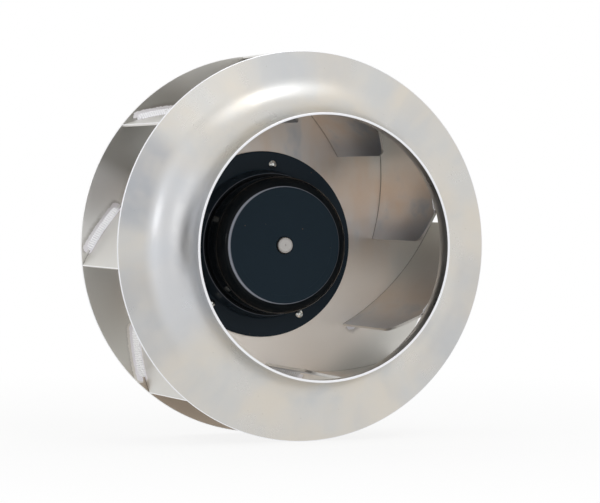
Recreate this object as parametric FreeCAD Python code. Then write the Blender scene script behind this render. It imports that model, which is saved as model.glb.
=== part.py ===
import FreeCAD, Part
import math
import os

# Motorised impeller: a backward-curved centrifugal wheel on an external-rotor motor.
# The wheel spins about Y. Its inlet faces -Y and the motor's mounting face is the plane y = 0.
# All sizes are in millimetres.

os.makedirs("parts", exist_ok=True)

# Wheel, as measured from the photograph
wheel_radius = 202.0
eye_radius = 134.8
outlet_width = 126.5
shroud_rise = 62.0
cone_angle = 12.0
inlet_bend = 50.0
sheet = 2.5

# Blades
blade_count = 8
blade_start_angle = 1.85
blade_lead_radius = 129.3
blade_wrap_angle = 49.4
blade_sagitta = 12.2
blade_tip_inset = 1.2
lead_corner_drop = 0.5
lead_corner_bend = 26.0
lead_slant_angle = 41.0

# Weld beads
plate_bead = 6.0
plate_bead_bulge = 0.62
shroud_bead = 2.4
outer_bead_length = 54.0
inner_bead_length = 38.0
shroud_bead_length = 30.0
outer_bead_inset = 18.0
inner_bead_inset = 3.0
shroud_bead_inset = 7.0

# Motor, outside
mount_gap = 38.5
can_reach = 69.5
can_radius = 73.0
can_wall = 3.5
can_face_wall = 5.0
can_shoulder = 12.0
hub_rim = 26.6
hub_thickness = 4.0
hub_edge_bend = 1.0
collar_height = 23.5
collar_foot = 6.5
collar_top = 3.3
collar_bend = 1.5

# Motor, inside
shaft_radius = 8.5
shaft_reach = 3.0
shaft_tail = 4.0
shaft_chamfer = 0.7
bearing_width = 12.0
bearing_depth = 11.5
bearing_seat = 2.0
race_share = 0.28
shield_thickness = 0.8
ring_depth = 2.5
ring_thickness = 1.5
ring_gap_angle = 40
spring_space = 2.0
spring_wire = 0.4
spring_waves = 3
boss_length = 9.0
boss_wall = 2.9
tube_wall = 4.0
air_gap = 0.5
rotor_ring_depth = 13.5
slot_count = 24
cage_bar_count = 30
bar_share = 0.14
cage_end_length = 7.7
winding_overhang = 14.0
winding_lift = 2.0
slot_liner = 0.3
slot_width_share = 0.17
slot_foot_share = 0.42
slot_head_share = 0.9
slot_mouth = 2.4
insulator_thickness = 1.6

# Hub screws, M5
screw_count = 5
screw_start_angle = 82.7
screw_inset = 13.0
screw_radius = 2.5
screw_head_radius = 4.6
screw_head_height = 2.8
screw_reach = 1.5
screw_clearance = 0.25
nut_flats = 8.0
nut_height = 4.0
hex_key = 3.0

# Mounting flange: four M6 threads, drawn at their core size
mount_hole_count = 4
mount_hole_radius = 2.5
mount_pitch_radius = 57.5
mount_hole_depth = 12.0
pad_height = 4.0
pad_half_width = 9.5
flange_floor = 6.5
flange_hub_wall = 7.0
flange_cap = 1.0
flange_chamfer = 1.5
spigot_wall = 4.0
rib_count = 8
rib_thickness = 3.0
cable_angle = 270
thread_boss_wall = 5.5
grommet_neck = 6.0
grommet_lip = 1.6
grommet_bore = 3.3

# Gaps
labyrinth_gap = 0.8
socket_depth = 5.5
running_gap = 0.3
hub_bore_gap = 1.5

# Stations along Y that the pieces share
plate_front = -mount_gap
plate_back = plate_front + sheet
rim_front = plate_front - outlet_width
lip_front = rim_front - shroud_rise
can_front = plate_front - can_reach
flange_front = -(pad_height + flange_floor)
can_back = flange_front - labyrinth_gap
hub_front = plate_front - hub_thickness
socket_front = flange_front - socket_depth
rear_bearing_back = socket_front - bearing_seat
rear_bearing_front = rear_bearing_back - bearing_width
core_back = rear_bearing_front - spring_space
front_bearing_front = can_front + can_face_wall + boss_length
core_front = front_bearing_front + bearing_width

# Radii that the pieces share
bearing_radius = shaft_radius + bearing_depth
tube_radius = bearing_radius + tube_wall
can_bore = can_radius - can_wall
rotor_bore = can_bore - rotor_ring_depth
stator_radius = rotor_bore - air_gap
blade_tip_radius = wheel_radius - blade_tip_inset
hub_radius = can_radius + hub_rim
collar_foot_radius = can_radius + collar_foot
collar_top_radius = can_radius + collar_top
screw_pitch_radius = can_radius + screw_inset
flange_hub_radius = tube_radius + flange_hub_wall
pad_inner_radius = mount_pitch_radius - pad_half_width
pad_outer_radius = mount_pitch_radius + pad_half_width
cable_radius = (flange_hub_radius + pad_inner_radius) / 2
winding_foot = tube_radius + (stator_radius - tube_radius) * slot_foot_share
winding_head = tube_radius + (stator_radius - tube_radius) * slot_head_share
cage_bar_radius = rotor_ring_depth * bar_share
race_radius = shaft_radius + bearing_depth * race_share
groove_floor = shaft_radius - ring_thickness / 2
cone_slope = math.tan(math.radians(cone_angle))
cone_thickness = sheet / math.cos(math.radians(cone_angle))

X = FreeCAD.Vector(1, 0, 0)
Y = FreeCAD.Vector(0, 1, 0)
Z = FreeCAD.Vector(0, 0, 1)
CENTRE = FreeCAD.Vector(0, 0, 0)


def outline(corners, start=CENTRE, across=X, along=Y):
    """Face with straight sides; each corner is (across, along, rounding radius)."""
    spots = [start + across * u + along * v for u, v, _ in corners]
    ends = []
    edges = []
    for index, (_, _, radius) in enumerate(corners):
        here = spots[index]
        if not radius:
            ends.append((here, here))
            continue
        back = (spots[index - 1] - here).normalize()
        ahead = (spots[(index + 1) % len(spots)] - here).normalize()
        half = back.getAngle(ahead) / 2
        reach = radius / math.tan(half)
        middle = here + (back + ahead).normalize() * (radius / math.sin(half) - radius)
        ends.append((here + back * reach, here + ahead * reach))
        edges.append(Part.Arc(ends[-1][0], middle, ends[-1][1]).toShape())
    for index, (_, leave) in enumerate(ends):
        arrive = ends[(index + 1) % len(ends)][0]
        if leave.distanceToPoint(arrive) > 1e-6:
            edges.append(Part.makeLine(leave, arrive))
    return Part.Face(Part.Wire(Part.__sortEdges__(edges)))


def spun(corners):
    """Solid of revolution about the spin axis; each corner is (radius, y, rounding)."""
    return outline(corners).revolve(CENTRE, Y, 360)


def ring(outer, inner, front, back):
    """Plain ring about the spin axis."""
    return spun([(inner, front, 0), (outer, front, 0), (outer, back, 0), (inner, back, 0)])


def peg(radius, front, back, pitch_radius=0.0, angle=0.0):
    """Cylinder along Y, set off the spin axis by a pitch radius."""
    solid = Part.makeCylinder(radius, back - front, FreeCAD.Vector(pitch_radius, front, 0), Y)
    return turned(solid, angle)


def turned(shape, angle):
    """Copy turned about the spin axis, anticlockwise as seen from the inlet."""
    copy = shape.copy()
    copy.rotate(CENTRE, -Y, angle)
    return copy


def around(shape, count, start=0.0):
    """Evenly spaced copies of a shape round the spin axis."""
    return [turned(shape, start + index * 360 / count) for index in range(count)]


def rear_cone(radius):
    """Station of the shroud's rear face on its straight cone."""
    return rim_front + cone_thickness - (wheel_radius - radius) * cone_slope


def front_cone(radius):
    """Station of the shroud's front face on its straight cone."""
    return rim_front - (wheel_radius - radius) * cone_slope


def shroud():
    """Spun inlet shroud: straight throat, bend and flat cone."""
    outer_eye = eye_radius + sheet
    return spun([
        (eye_radius, lip_front, 0),
        (eye_radius, rear_cone(eye_radius), inlet_bend),
        (wheel_radius, rear_cone(wheel_radius), 0),
        (wheel_radius, rim_front, 0),
        (outer_eye, front_cone(outer_eye), inlet_bend - sheet),
        (outer_eye, lip_front, 0),
    ])


def backplate():
    """Flat disc with the motor hole and the screw holes."""
    plate = ring(wheel_radius, can_radius + hub_bore_gap, plate_front, plate_back)
    return plate.cut(hub_screw_holes())


def hub_screw_holes():
    """Clearance holes through the hub flange and the backplate."""
    hole = peg(screw_radius + screw_clearance, hub_front - 1, plate_back + 1, screw_pitch_radius)
    return Part.makeCompound(around(hole, screw_count, screw_start_angle))


def passage(inset=0.0):
    """Space inside the wheel between the backplate and the shroud.

    It is turned so that its seam lies away from the blade at angle 0.
    """
    beyond = wheel_radius * 1.05
    space = spun([
        (0, lip_front, 0),
        (eye_radius - inset, lip_front, 0),
        (eye_radius - inset, rear_cone(eye_radius - inset) + inset, inlet_bend + inset),
        (beyond, rear_cone(beyond) + inset, 0),
        (beyond, plate_front, 0),
        (0, plate_front, 0),
    ])
    return turned(space, 200)


def blade_ends():
    """Ends of the blade's centre line in the plane y = 0, with the lead at angle 0."""
    wrap = math.radians(blade_wrap_angle)
    lead = X * blade_lead_radius
    tip = (X * math.cos(wrap) + Z * math.sin(wrap)) * blade_tip_radius
    return lead, tip


def blade_circle():
    """Centre and radius of the circle that a blade's centre line follows."""
    lead, tip = blade_ends()
    chord = tip - lead
    outward = chord.cross(Y).normalize()
    if outward.dot(lead + tip) < 0:
        outward = -outward
    radius = chord.Length ** 2 / (8 * blade_sagitta) + blade_sagitta / 2
    return lead + chord / 2 + outward * (blade_sagitta - radius), radius


blade_centre, blade_radius = blade_circle()


def blade_arm(distance):
    """Unit vector from the blade's circle centre to a point that far along the blade."""
    lead, tip = blade_ends()
    arm = (lead - blade_centre).normalize()
    side = tip - blade_centre
    side = (side - arm * side.dot(arm)).normalize()
    turn = distance / blade_radius
    return arm * math.cos(turn) + side * math.sin(turn)


def blade_length():
    """Length of the blade's centre line."""
    lead, tip = blade_ends()
    return blade_radius * (lead - blade_centre).getAngle(tip - blade_centre)


def curved_wall(inner, outer, begin, end, front, back):
    """Piece of a wall concentric with the blade, between two distances along it."""
    middle = (begin + end) / 2
    near = [blade_centre + blade_arm(spot) * inner for spot in (begin, middle, end)]
    far = [blade_centre + blade_arm(spot) * outer for spot in (begin, middle, end)]
    edges = [
        Part.Arc(*near).toShape(),
        Part.makeLine(near[2], far[2]),
        Part.Arc(*far).toShape(),
        Part.makeLine(far[0], near[0]),
    ]
    face = Part.Face(Part.Wire(Part.__sortEdges__(edges)))
    face.translate(Y * front)
    return face.extrude(Y * (back - front))


def blade():
    """Curved sheet blade with its inlet corner cut on the slant."""
    half = sheet / 2
    wall = curved_wall(
        blade_radius - half, blade_radius + half, -sheet, blade_length(), lip_front, plate_front)
    corner = rim_front - lead_corner_drop
    reach = blade_length() * 1.2
    slope = math.tan(math.radians(lead_slant_angle))
    forward = Y.cross(blade_arm(0))
    if forward.dot(blade_arm(reach)) < 0:
        forward = -forward
    normal = blade_arm(0)
    kept = outline([
        (0, plate_front, 0),
        (0, corner, lead_corner_bend),
        (reach, corner - slope * reach, 0),
        (reach, plate_front, 0),
    ], start=blade_ends()[0] - normal * reach, across=forward)
    wall = wall.common(kept.extrude(normal * reach * 2))
    return wall.common(passage())


def blade_distance(radius):
    """Distance along the blade at which its centre line reaches a radius."""
    offset = blade_centre.Length

    def swing(reach):
        share = (reach ** 2 - offset ** 2 - blade_radius ** 2) / (2 * offset * blade_radius)
        return math.acos(share)

    return blade_radius * (swing(blade_lead_radius) - swing(radius))


def plate_weld(begin, length):
    """Bead in the corner between a blade's outer face and the backplate."""
    arm = blade_arm(begin)
    root = blade_centre + arm * (blade_radius + sheet / 2) + Y * plate_front
    on_plate = root + arm * plate_bead
    on_blade = root - Y * plate_bead
    crown = root + (arm - Y) * plate_bead * plate_bead_bulge
    section = Part.Face(Part.Wire([
        Part.makeLine(root, on_plate),
        Part.Arc(on_plate, crown, on_blade).toShape(),
        Part.makeLine(on_blade, root),
    ]))
    turn_axis = Y
    if arm.cross(blade_arm(begin + length)).dot(Y) < 0:
        turn_axis = -Y
    return section.revolve(blade_centre, turn_axis, math.degrees(length / blade_radius))


def plate_welds():
    """Outer and inner beads of one blade on the backplate."""
    outer = plate_weld(blade_length() - outer_bead_inset - outer_bead_length, outer_bead_length)
    inner = plate_weld(inner_bead_inset, inner_bead_length)
    return outer, inner


def shroud_weld():
    """Bead in the corner between a blade's inner face and the shroud."""
    face_radius = blade_radius - sheet / 2
    begin = blade_distance(eye_radius + shroud_bead_inset)
    strip = curved_wall(
        face_radius - shroud_bead, face_radius, begin, begin + shroud_bead_length,
        rim_front - shroud_rise / 2, plate_front)
    return strip.common(passage()).cut(passage(shroud_bead))


def hub_flange():
    """Black flange with its raised collar, which carries the wheel on the motor."""
    profile = spun([
        (can_radius, plate_front, 0),
        (hub_radius, plate_front, 0),
        (hub_radius, hub_front, hub_edge_bend),
        (collar_foot_radius, hub_front, collar_bend),
        (collar_top_radius, hub_front - collar_height, collar_bend),
        (can_radius, hub_front - collar_height, 0),
    ])
    return profile.cut(hub_screw_holes())


def hub_screws():
    """Button-head screws with hexagon sockets."""
    top = hub_front - screw_head_height
    head = outline([
        (0, hub_front, 0),
        (screw_head_radius, hub_front, 0),
        (screw_head_radius, hub_front - screw_head_height / 4, 0),
        (screw_head_radius * 0.55, top, 0),
        (0, top, 0),
    ]).revolve(CENTRE, Y, 360)
    shank = peg(screw_radius, hub_front, plate_back + nut_height + screw_reach)
    socket = hexagon(hex_key, top - 1, top + screw_head_height * 0.6)
    screw = head.fuse(shank).cut(socket)
    screw.translate(X * screw_pitch_radius)
    return Part.makeCompound(around(screw, screw_count, screw_start_angle))


def hexagon(flats, front, back):
    """Hexagonal prism along Y."""
    radius = flats / math.sqrt(3)
    corners = [
        (radius * math.cos(math.radians(60 * side)), radius * math.sin(math.radians(60 * side)), 0)
        for side in range(6)]
    return outline(corners, start=Y * front, along=Z).extrude(Y * (back - front))


def hub_nuts():
    """Hexagon nuts behind the backplate."""
    nut = hexagon(nut_flats, plate_back, plate_back + nut_height)
    nut = nut.cut(peg(screw_radius, plate_back - 1, plate_back + nut_height + 1))
    nut.translate(X * screw_pitch_radius)
    return Part.makeCompound(around(nut, screw_count, screw_start_angle))


def rotor_can():
    """Deep can of the external rotor, with the boss that grips the shaft."""
    boss_tip = shaft_radius + boss_wall
    boss_foot = shaft_radius * 2
    boss_step = front_bearing_front - tube_wall - air_gap
    inside = can_front + can_face_wall
    return spun([
        (shaft_radius, can_front, 0),
        (can_radius, can_front, can_shoulder),
        (can_radius, can_back, 0),
        (can_bore, can_back, 0),
        (can_bore, inside, 0),
        (boss_foot, inside, 0),
        (boss_foot, boss_step, 0),
        (boss_tip, boss_step, 0),
        (boss_tip, front_bearing_front, 0),
        (shaft_radius, front_bearing_front, 0),
    ])


def cage_bars(front, back):
    """Bars of the rotor cage, just outside the air gap."""
    bar = peg(cage_bar_radius, front, back, rotor_bore + cage_bar_radius * 2)
    return around(bar, cage_bar_count)


def rotor_core():
    """Laminated ring fixed in the can, pierced for the cage bars."""
    return ring(can_bore, rotor_bore, core_front, core_back).cut(
        Part.makeCompound(cage_bars(core_front - 1, core_back + 1)))


def rotor_cage():
    """Cast cage: two end rings joined by the bars."""
    end_radius = rotor_bore + cage_bar_radius * 4
    front = ring(end_radius, rotor_bore, core_front - cage_end_length, core_front)
    back = ring(end_radius, rotor_bore, core_back, core_back + cage_end_length)
    return front.multiFuse([back] + cage_bars(core_front, core_back))


def shaft():
    """Shaft with chamfered ends and the groove for its retaining ring."""
    tip = can_front - shaft_reach
    tail = rear_bearing_back + shaft_tail
    solid = spun([
        (0, tip, 0),
        (shaft_radius - shaft_chamfer, tip, 0),
        (shaft_radius, tip + shaft_chamfer, 0),
        (shaft_radius, tail - shaft_chamfer, 0),
        (shaft_radius - shaft_chamfer, tail, 0),
        (0, tail, 0),
    ])
    groove_end = rear_bearing_back + ring_thickness
    return solid.cut(ring(shaft_radius + 1, groove_floor, rear_bearing_back, groove_end))


def split_ring(outer, inner, front):
    """Retaining ring with a gap at its start."""
    back = front + ring_thickness
    section = outline([
        (inner, front, 0), (outer, front, 0), (outer, back, 0), (inner, back, 0)])
    return section.revolve(CENTRE, Y, 360 - ring_gap_angle)


def shaft_ring():
    """Ring in the shaft's groove that keeps the rear bearing in place."""
    return split_ring(shaft_radius + ring_depth, groove_floor, rear_bearing_back)


def bore_ring():
    """Ring in the tube's groove that keeps the front bearing in place."""
    return split_ring(
        bearing_radius + 1, bearing_radius - ring_depth, front_bearing_front - ring_thickness)


def inner_race(front):
    """Inner ring of a sealed ball bearing."""
    return ring(race_radius, shaft_radius, front, front + bearing_width)


def outer_race(front):
    """Outer ring of a sealed ball bearing, with its two shields."""
    race_bore = bearing_radius - bearing_depth * race_share
    shield_bore = race_radius + running_gap
    back = front + bearing_width
    return spun([
        (shield_bore, front, 0),
        (bearing_radius, front, 0),
        (bearing_radius, back, 0),
        (shield_bore, back, 0),
        (shield_bore, back - shield_thickness, 0),
        (race_bore, back - shield_thickness, 0),
        (race_bore, front + shield_thickness, 0),
        (shield_bore, front + shield_thickness, 0),
    ])


def bearing_tube():
    """Steel tube that holds both bearings and the stator core."""
    front = front_bearing_front - tube_wall
    waist = bearing_radius - ring_depth
    solid = spun([
        (bearing_radius, front, 0),
        (tube_radius, front, 0),
        (tube_radius, -pad_height, 0),
        (bearing_radius, -pad_height, 0),
        (bearing_radius, core_back, 0),
        (waist, core_back, 0),
        (waist, core_front, 0),
        (bearing_radius, core_front, 0),
    ])
    groove = ring(
        bearing_radius + 1, waist, front_bearing_front - ring_thickness, front_bearing_front)
    return solid.cut(groove)


def wave_spring():
    """Waved washer that preloads the rear bearing."""
    height = (spring_space - spring_wire) / 2 - running_gap / 4
    steps = 6 * spring_waves
    edges = []
    for radius in (bearing_radius - running_gap, bearing_radius - ring_depth + running_gap):
        points = []
        for step in range(steps):
            angle = math.radians(step * 360 / steps)
            lift = core_back + spring_space / 2 + height * math.sin(spring_waves * angle)
            points.append(FreeCAD.Vector(
                radius * math.cos(angle), lift - spring_wire / 2, radius * math.sin(angle)))
        curve = Part.BSplineCurve()
        curve.interpolate(Points=points, PeriodicFlag=True)
        edges.append(curve.toShape())
    return Part.makeRuledSurface(*edges).extrude(Y * spring_wire)


def slot_bars(shrink, front, back):
    """Prisms through all the stator's slots, pulled in from the slots' sides by a gap."""
    half = (stator_radius - tube_radius) * slot_width_share / 2 - shrink
    low = winding_foot + shrink
    high = winding_head - shrink
    corners = [(low, -half, 0), (high, -half, 0), (high, half, 0), (low, half, 0)]
    bar = outline(corners, start=Y * front, along=Z).extrude(Y * (back - front))
    return around(bar, slot_count)


def stator_core():
    """Laminated core with slots that open towards the air gap."""
    half = slot_mouth / 2
    low = winding_head - 1
    high = stator_radius + 1
    corners = [(low, -half, 0), (high, -half, 0), (high, half, 0), (low, half, 0)]
    mouth = outline(corners, start=Y * (core_front - 1), along=Z)
    mouth = mouth.extrude(Y * (core_back - core_front + 2))
    gaps = slot_bars(0, core_front - 1, core_back + 1) + around(mouth, slot_count)
    return ring(stator_radius, tube_radius, core_front, core_back).cut(Part.makeCompound(gaps))


def windings():
    """Copper coils: two end turns joined by the bars in the slots."""
    low = winding_foot + slot_liner
    high = winding_head - slot_liner
    front = ring(high, low, core_front - winding_overhang, core_front - winding_lift)
    back = ring(high, low, core_back + winding_lift, core_back + winding_overhang)
    bars = slot_bars(slot_liner, core_front - winding_lift - 1, core_back + winding_lift + 1)
    return front.multiFuse([back] + bars)


def end_insulators():
    """Insulating rings on both ends of the stator core, inside the coils."""
    outer = winding_foot - 1
    front = ring(outer, tube_radius, core_front - insulator_thickness, core_front)
    back = ring(outer, tube_radius, core_back, core_back + insulator_thickness)
    return Part.makeCompound([front, back])


def stator_flange():
    """Die-cast mounting flange with pads, ribs, threads and the cable hole."""
    spigot = can_bore - labyrinth_gap
    body = spun([
        (0, -pad_height, 0),
        (tube_radius, -pad_height, 0),
        (tube_radius, socket_front, 0),
        (flange_hub_radius, socket_front, 0),
        (flange_hub_radius, flange_front, 0),
        (spigot - spigot_wall, flange_front, 0),
        (spigot - spigot_wall, socket_front, 0),
        (spigot, socket_front, 0),
        (spigot, flange_front, 0),
        (can_radius, flange_front, 0),
        (can_radius, -pad_height - flange_chamfer, 0),
        (can_radius - flange_chamfer, -pad_height, 0),
        (pad_outer_radius, -pad_height, 0),
        (pad_outer_radius, 0, 0),
        (pad_inner_radius, 0, 0),
        (pad_inner_radius, -pad_height, 0),
        (flange_hub_radius, -pad_height, 0),
        (flange_hub_radius - flange_chamfer, -flange_cap, 0),
        (0, -flange_cap, 0),
    ])
    hole_start = 180 / mount_hole_count
    boss = peg(
        mount_hole_radius + thread_boss_wall, -mount_hole_depth - sheet, flange_front,
        mount_pitch_radius)
    rib_start = FreeCAD.Vector(flange_hub_radius - 1, -pad_height, -rib_thickness / 2)
    rib = Part.makeBox(
        pad_inner_radius - flange_hub_radius + 2, pad_height - flange_cap, rib_thickness,
        rib_start)
    body = body.multiFuse(
        around(boss, mount_hole_count, hole_start) + around(rib, rib_count, 180 / rib_count))
    hole = peg(mount_hole_radius, -mount_hole_depth, 1, mount_pitch_radius)
    body = body.cut(Part.makeCompound(around(hole, mount_hole_count, hole_start)))
    return body.cut(peg(grommet_neck, flange_front - 1, 0, cable_radius, cable_angle))


def cable_grommet():
    """Rubber grommet that lines the cable hole."""
    lip = grommet_neck + grommet_lip
    front = flange_front - grommet_lip
    back = -pad_height + grommet_lip
    solid = spun([
        (grommet_bore, front, 0),
        (lip, front, 0),
        (lip, flange_front, 0),
        (grommet_neck, flange_front, 0),
        (grommet_neck, -pad_height, 0),
        (lip, -pad_height, 0),
        (lip - grommet_lip / 2, back, 0),
        (grommet_bore, back, 0),
    ])
    solid.translate(X * cable_radius)
    return turned(solid, cable_angle)


pieces = {
    "shroud": shroud(),
    "backplate": backplate(),
    "hub_flange": hub_flange(),
    "hub_screws": hub_screws(),
    "hub_nuts": hub_nuts(),
    "rotor_can": rotor_can(),
    "rotor_core": rotor_core(),
    "rotor_cage": rotor_cage(),
    "shaft": shaft(),
    "shaft_ring": shaft_ring(),
    "front_inner_race": inner_race(front_bearing_front),
    "rear_inner_race": inner_race(rear_bearing_front),
    "front_outer_race": outer_race(front_bearing_front),
    "rear_outer_race": outer_race(rear_bearing_front),
    "bearing_tube": bearing_tube(),
    "bore_ring": bore_ring(),
    "wave_spring": wave_spring(),
    "stator_core": stator_core(),
    "windings": windings(),
    "end_insulators": end_insulators(),
    "stator_flange": stator_flange(),
    "cable_grommet": cable_grommet(),
}

base_blade = blade()
outer_weld, inner_weld = plate_welds()
for number, angle in enumerate(range(0, 360, 360 // blade_count), 1):
    pieces[f"blade_{number}"] = turned(base_blade, blade_start_angle + angle)
pieces["outer_plate_welds"] = Part.makeCompound(around(outer_weld, blade_count, blade_start_angle))
pieces["inner_plate_welds"] = Part.makeCompound(around(inner_weld, blade_count, blade_start_angle))
pieces["shroud_welds"] = Part.makeCompound(around(shroud_weld(), blade_count, blade_start_angle))

for name, shape in pieces.items():
    shape.exportStep(f"parts/{name}.step")
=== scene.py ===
import logging
import math
from collections.abc import Callable, Mapping, Sequence
from dataclasses import dataclass
from enum import Enum
from typing import Any

import bmesh
import bpy
from mathutils import Matrix, Vector


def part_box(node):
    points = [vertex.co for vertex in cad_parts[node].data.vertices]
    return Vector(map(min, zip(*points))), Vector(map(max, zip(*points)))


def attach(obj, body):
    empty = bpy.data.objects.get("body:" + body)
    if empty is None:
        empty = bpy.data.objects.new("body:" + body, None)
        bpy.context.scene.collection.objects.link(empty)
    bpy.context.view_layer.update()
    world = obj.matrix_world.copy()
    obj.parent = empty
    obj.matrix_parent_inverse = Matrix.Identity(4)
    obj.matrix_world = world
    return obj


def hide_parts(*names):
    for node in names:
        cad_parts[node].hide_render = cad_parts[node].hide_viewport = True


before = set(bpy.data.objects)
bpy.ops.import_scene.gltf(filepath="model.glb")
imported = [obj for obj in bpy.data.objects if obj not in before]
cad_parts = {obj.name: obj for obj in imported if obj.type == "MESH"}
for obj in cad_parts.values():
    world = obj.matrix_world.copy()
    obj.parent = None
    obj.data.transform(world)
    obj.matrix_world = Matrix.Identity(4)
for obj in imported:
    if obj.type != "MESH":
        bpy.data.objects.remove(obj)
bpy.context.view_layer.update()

# The motorised impeller as it looks: spun shroud, welded blades, black motor.
# Units are metres in the CAD frame. The wheel spins about Y and its inlet faces -Y.

logging.basicConfig(level=logging.INFO, format="%(message)s")
LOG = logging.getLogger("impeller")

MM = 0.001
TURN = 2 * math.pi
WHEEL_BODY = "impeller"  # The CAD body that all pieces here turn with.
Spot = tuple[float, float, float]
Span = tuple[float, float]
Radius = float | Callable[[float], float]

CLOUD = (0.3, 0.7)  # Where most of a noise's values lie.
SIDEWAYS = 0.5  # A face of a blade has less than this of its normal along Y.
SPOKE_STATION = 0.12  # Metres of station to one unit of a pattern that runs outwards.


class Kind(Enum):
    """Kinds of node that the patterns are made of, each with its own settings."""

    ADD = ("ShaderNodeMath", {"operation": "ADD"})
    SUBTRACT = ("ShaderNodeMath", {"operation": "SUBTRACT"})
    MULTIPLY = ("ShaderNodeMath", {"operation": "MULTIPLY"})
    MULTIPLY_ADD = ("ShaderNodeMath", {"operation": "MULTIPLY_ADD"})
    DIVIDE = ("ShaderNodeMath", {"operation": "DIVIDE"})
    MAXIMUM = ("ShaderNodeMath", {"operation": "MAXIMUM"})
    MINIMUM = ("ShaderNodeMath", {"operation": "MINIMUM"})
    LESS = ("ShaderNodeMath", {"operation": "LESS_THAN"})
    GREATER = ("ShaderNodeMath", {"operation": "GREATER_THAN"})
    ABSOLUTE = ("ShaderNodeMath", {"operation": "ABSOLUTE"})
    SINE = ("ShaderNodeMath", {"operation": "SINE"})
    ROOT = ("ShaderNodeMath", {"operation": "SQRT"})
    FRACTION = ("ShaderNodeMath", {"operation": "FRACT"})
    EASE = ("ShaderNodeMapRange", {"interpolation_type": "SMOOTHSTEP"})
    TOWARDS = ("ShaderNodeVectorMath", {"operation": "DOT_PRODUCT"})
    STRETCH = ("ShaderNodeVectorMath", {"operation": "MULTIPLY"})
    SHRINK = ("ShaderNodeVectorMath", {"operation": "DIVIDE"})
    LENGTH = ("ShaderNodeVectorMath", {"operation": "LENGTH"})
    BLEND = ("ShaderNodeMix", {"data_type": "RGBA"})
    NOISE = ("ShaderNodeTexNoise", {})
    CELLS = ("ShaderNodeTexVoronoi", {})
    COMBINE = ("ShaderNodeCombineXYZ", {})
    SEPARATE = ("ShaderNodeSeparateXYZ", {})


class Corner(Enum):
    """How many flats a rounded corner gets."""

    SMALL = 3
    LARGE = 16


def linear(code: str) -> tuple[float, float, float, float]:
    """Turns an sRGB hex colour into linear RGBA.

    Args:
        code: Six hex digits with a leading hash.

    Returns:
        Linear red, green, blue and an alpha of one.
    """
    parts = [int(code[start:start + 2], 16) / 255 for start in (1, 3, 5)]
    curve = [p / 12.92 if p <= 0.04045 else ((p + 0.055) / 1.055) ** 2.4 for p in parts]
    return (curve[0], curve[1], curve[2], 1.0)


@dataclass(frozen=True, eq=False)
class Field:
    """A node's output, such as a height or a share of a film."""

    tree: bpy.types.NodeTree
    socket: bpy.types.NodeSocket

    def then(self, kind: Kind | str, *values: Any, **named: Any) -> "Field":
        """Feeds the field into a new node's first input; the rest is as in add_node."""
        return add_node(self.tree, kind, self, *values, **named)


def add_node(
    tree: bpy.types.NodeTree, kind: Kind | str, *values: Any, out: int | str = 0,
    inputs: Mapping[int | str, Any] | None = None, **named: Any,
) -> Field:
    """Adds a node with its settings, values and links.

    Args:
        tree: Tree that gets the node.
        kind: One of the kinds above, or Blender's name of another node type.
        *values: Inputs in their order, each a value or the field that feeds it.
        out: Output that is wanted.
        inputs: Inputs whose sockets have no plain name, by name or number.
        **named: Inputs by their capitalised names, and settings of the node itself.

    Returns:
        The wanted output.
    """
    name, settings = kind.value if isinstance(kind, Kind) else (kind, {})
    node = tree.nodes.new(name)
    sockets = {**dict(enumerate(values)), **(inputs or {})}
    for label, value in {**settings, **named}.items():
        if label[0].isupper():
            sockets[label] = value
        else:
            setattr(node, label, value)
    for key, value in sockets.items():
        if isinstance(value, Field):
            tree.links.new(value.socket, node.inputs[key])
        else:
            node.inputs[key].default_value = value
    return Field(tree, node.outputs[out])


# Finishes


@dataclass(frozen=True)
class Finish:
    """What a surface is made of; each kind adds its own pattern."""

    name: str
    colour: str
    roughness: float
    metallic: float = 1.0

    def build(self) -> bpy.types.Material:
        """Makes the material.

        Returns:
            A node material named after the finish.
        """
        material = bpy.data.materials.new(self.name)
        material.use_nodes = True
        shader = material.node_tree.nodes["Principled BSDF"]
        shader.inputs["Metallic"].default_value = self.metallic
        shader.inputs["Base Color"].default_value = linear(self.colour)
        shader.inputs["Roughness"].default_value = self.roughness
        self.pattern(add_node(material.node_tree, "ShaderNodeTexCoord", out="Object"), shader)
        return material

    def pattern(self, place: Field, shader: bpy.types.Node) -> None:
        """Adds the finish's own colour, roughness and relief at a place in metres; a plain
        finish adds none.
        """

    def layered(self, *layers: tuple[Field, str]) -> Field:
        """Lays films, dirt, wear, painted light and painted shade over the base colour.

        Args:
            *layers: Share and hex colour of each, the lowest first.

        Returns:
            The colour that shows.
        """
        colour: Any = linear(self.colour)
        for share, tone in layers:
            colour = share.then(Kind.BLEND, inputs={6: colour, 7: linear(tone)}, out=2)
        return colour

    def swung(self, noise: Field, swing: float) -> Field:
        """Roughness that swings with a noise about the finish's own value."""
        return noise.then(Kind.MULTIPLY_ADD, swing, self.roughness - swing / 2)

    def lay(
        self, shader: bpy.types.Node, colour: Field | None = None, rough: Field | None = None,
        height: Field | None = None, depth: float = 0.0,
    ) -> None:
        """Wires a pattern to the shader.

        Args:
            shader: The material's shader.
            colour: Base colour.
            rough: Roughness.
            height: Height of the relief, from zero to one.
            depth: Depth of the relief in metres.
        """
        bump = height and add_node(
            height.tree, "ShaderNodeBump", Height=height, Distance=depth, Strength=1.0)
        for name, field in (("Base Color", colour), ("Roughness", rough), ("Normal", bump)):
            if field is not None:
                field.tree.links.new(field.socket, shader.inputs[name])


def polar(place: Field) -> tuple[Field, Field, Field, Field]:
    """Measures a place from the spin axis.

    Args:
        place: Object coordinates.

    Returns:
        Radius, station along Y, X and the place divided by the radius, which keeps a pattern
        running outwards.
    """
    x, station, z = (place.then(Kind.SEPARATE, out=axis) for axis in range(3))
    squares = x.then(Kind.MULTIPLY, x).then(Kind.ADD, z.then(Kind.MULTIPLY, z))
    radius = squares.then(Kind.ROOT)
    divisor = radius.then(Kind.COMBINE, SPOKE_STATION, radius)
    return radius, station, x, place.then(Kind.SHRINK, divisor)


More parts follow.
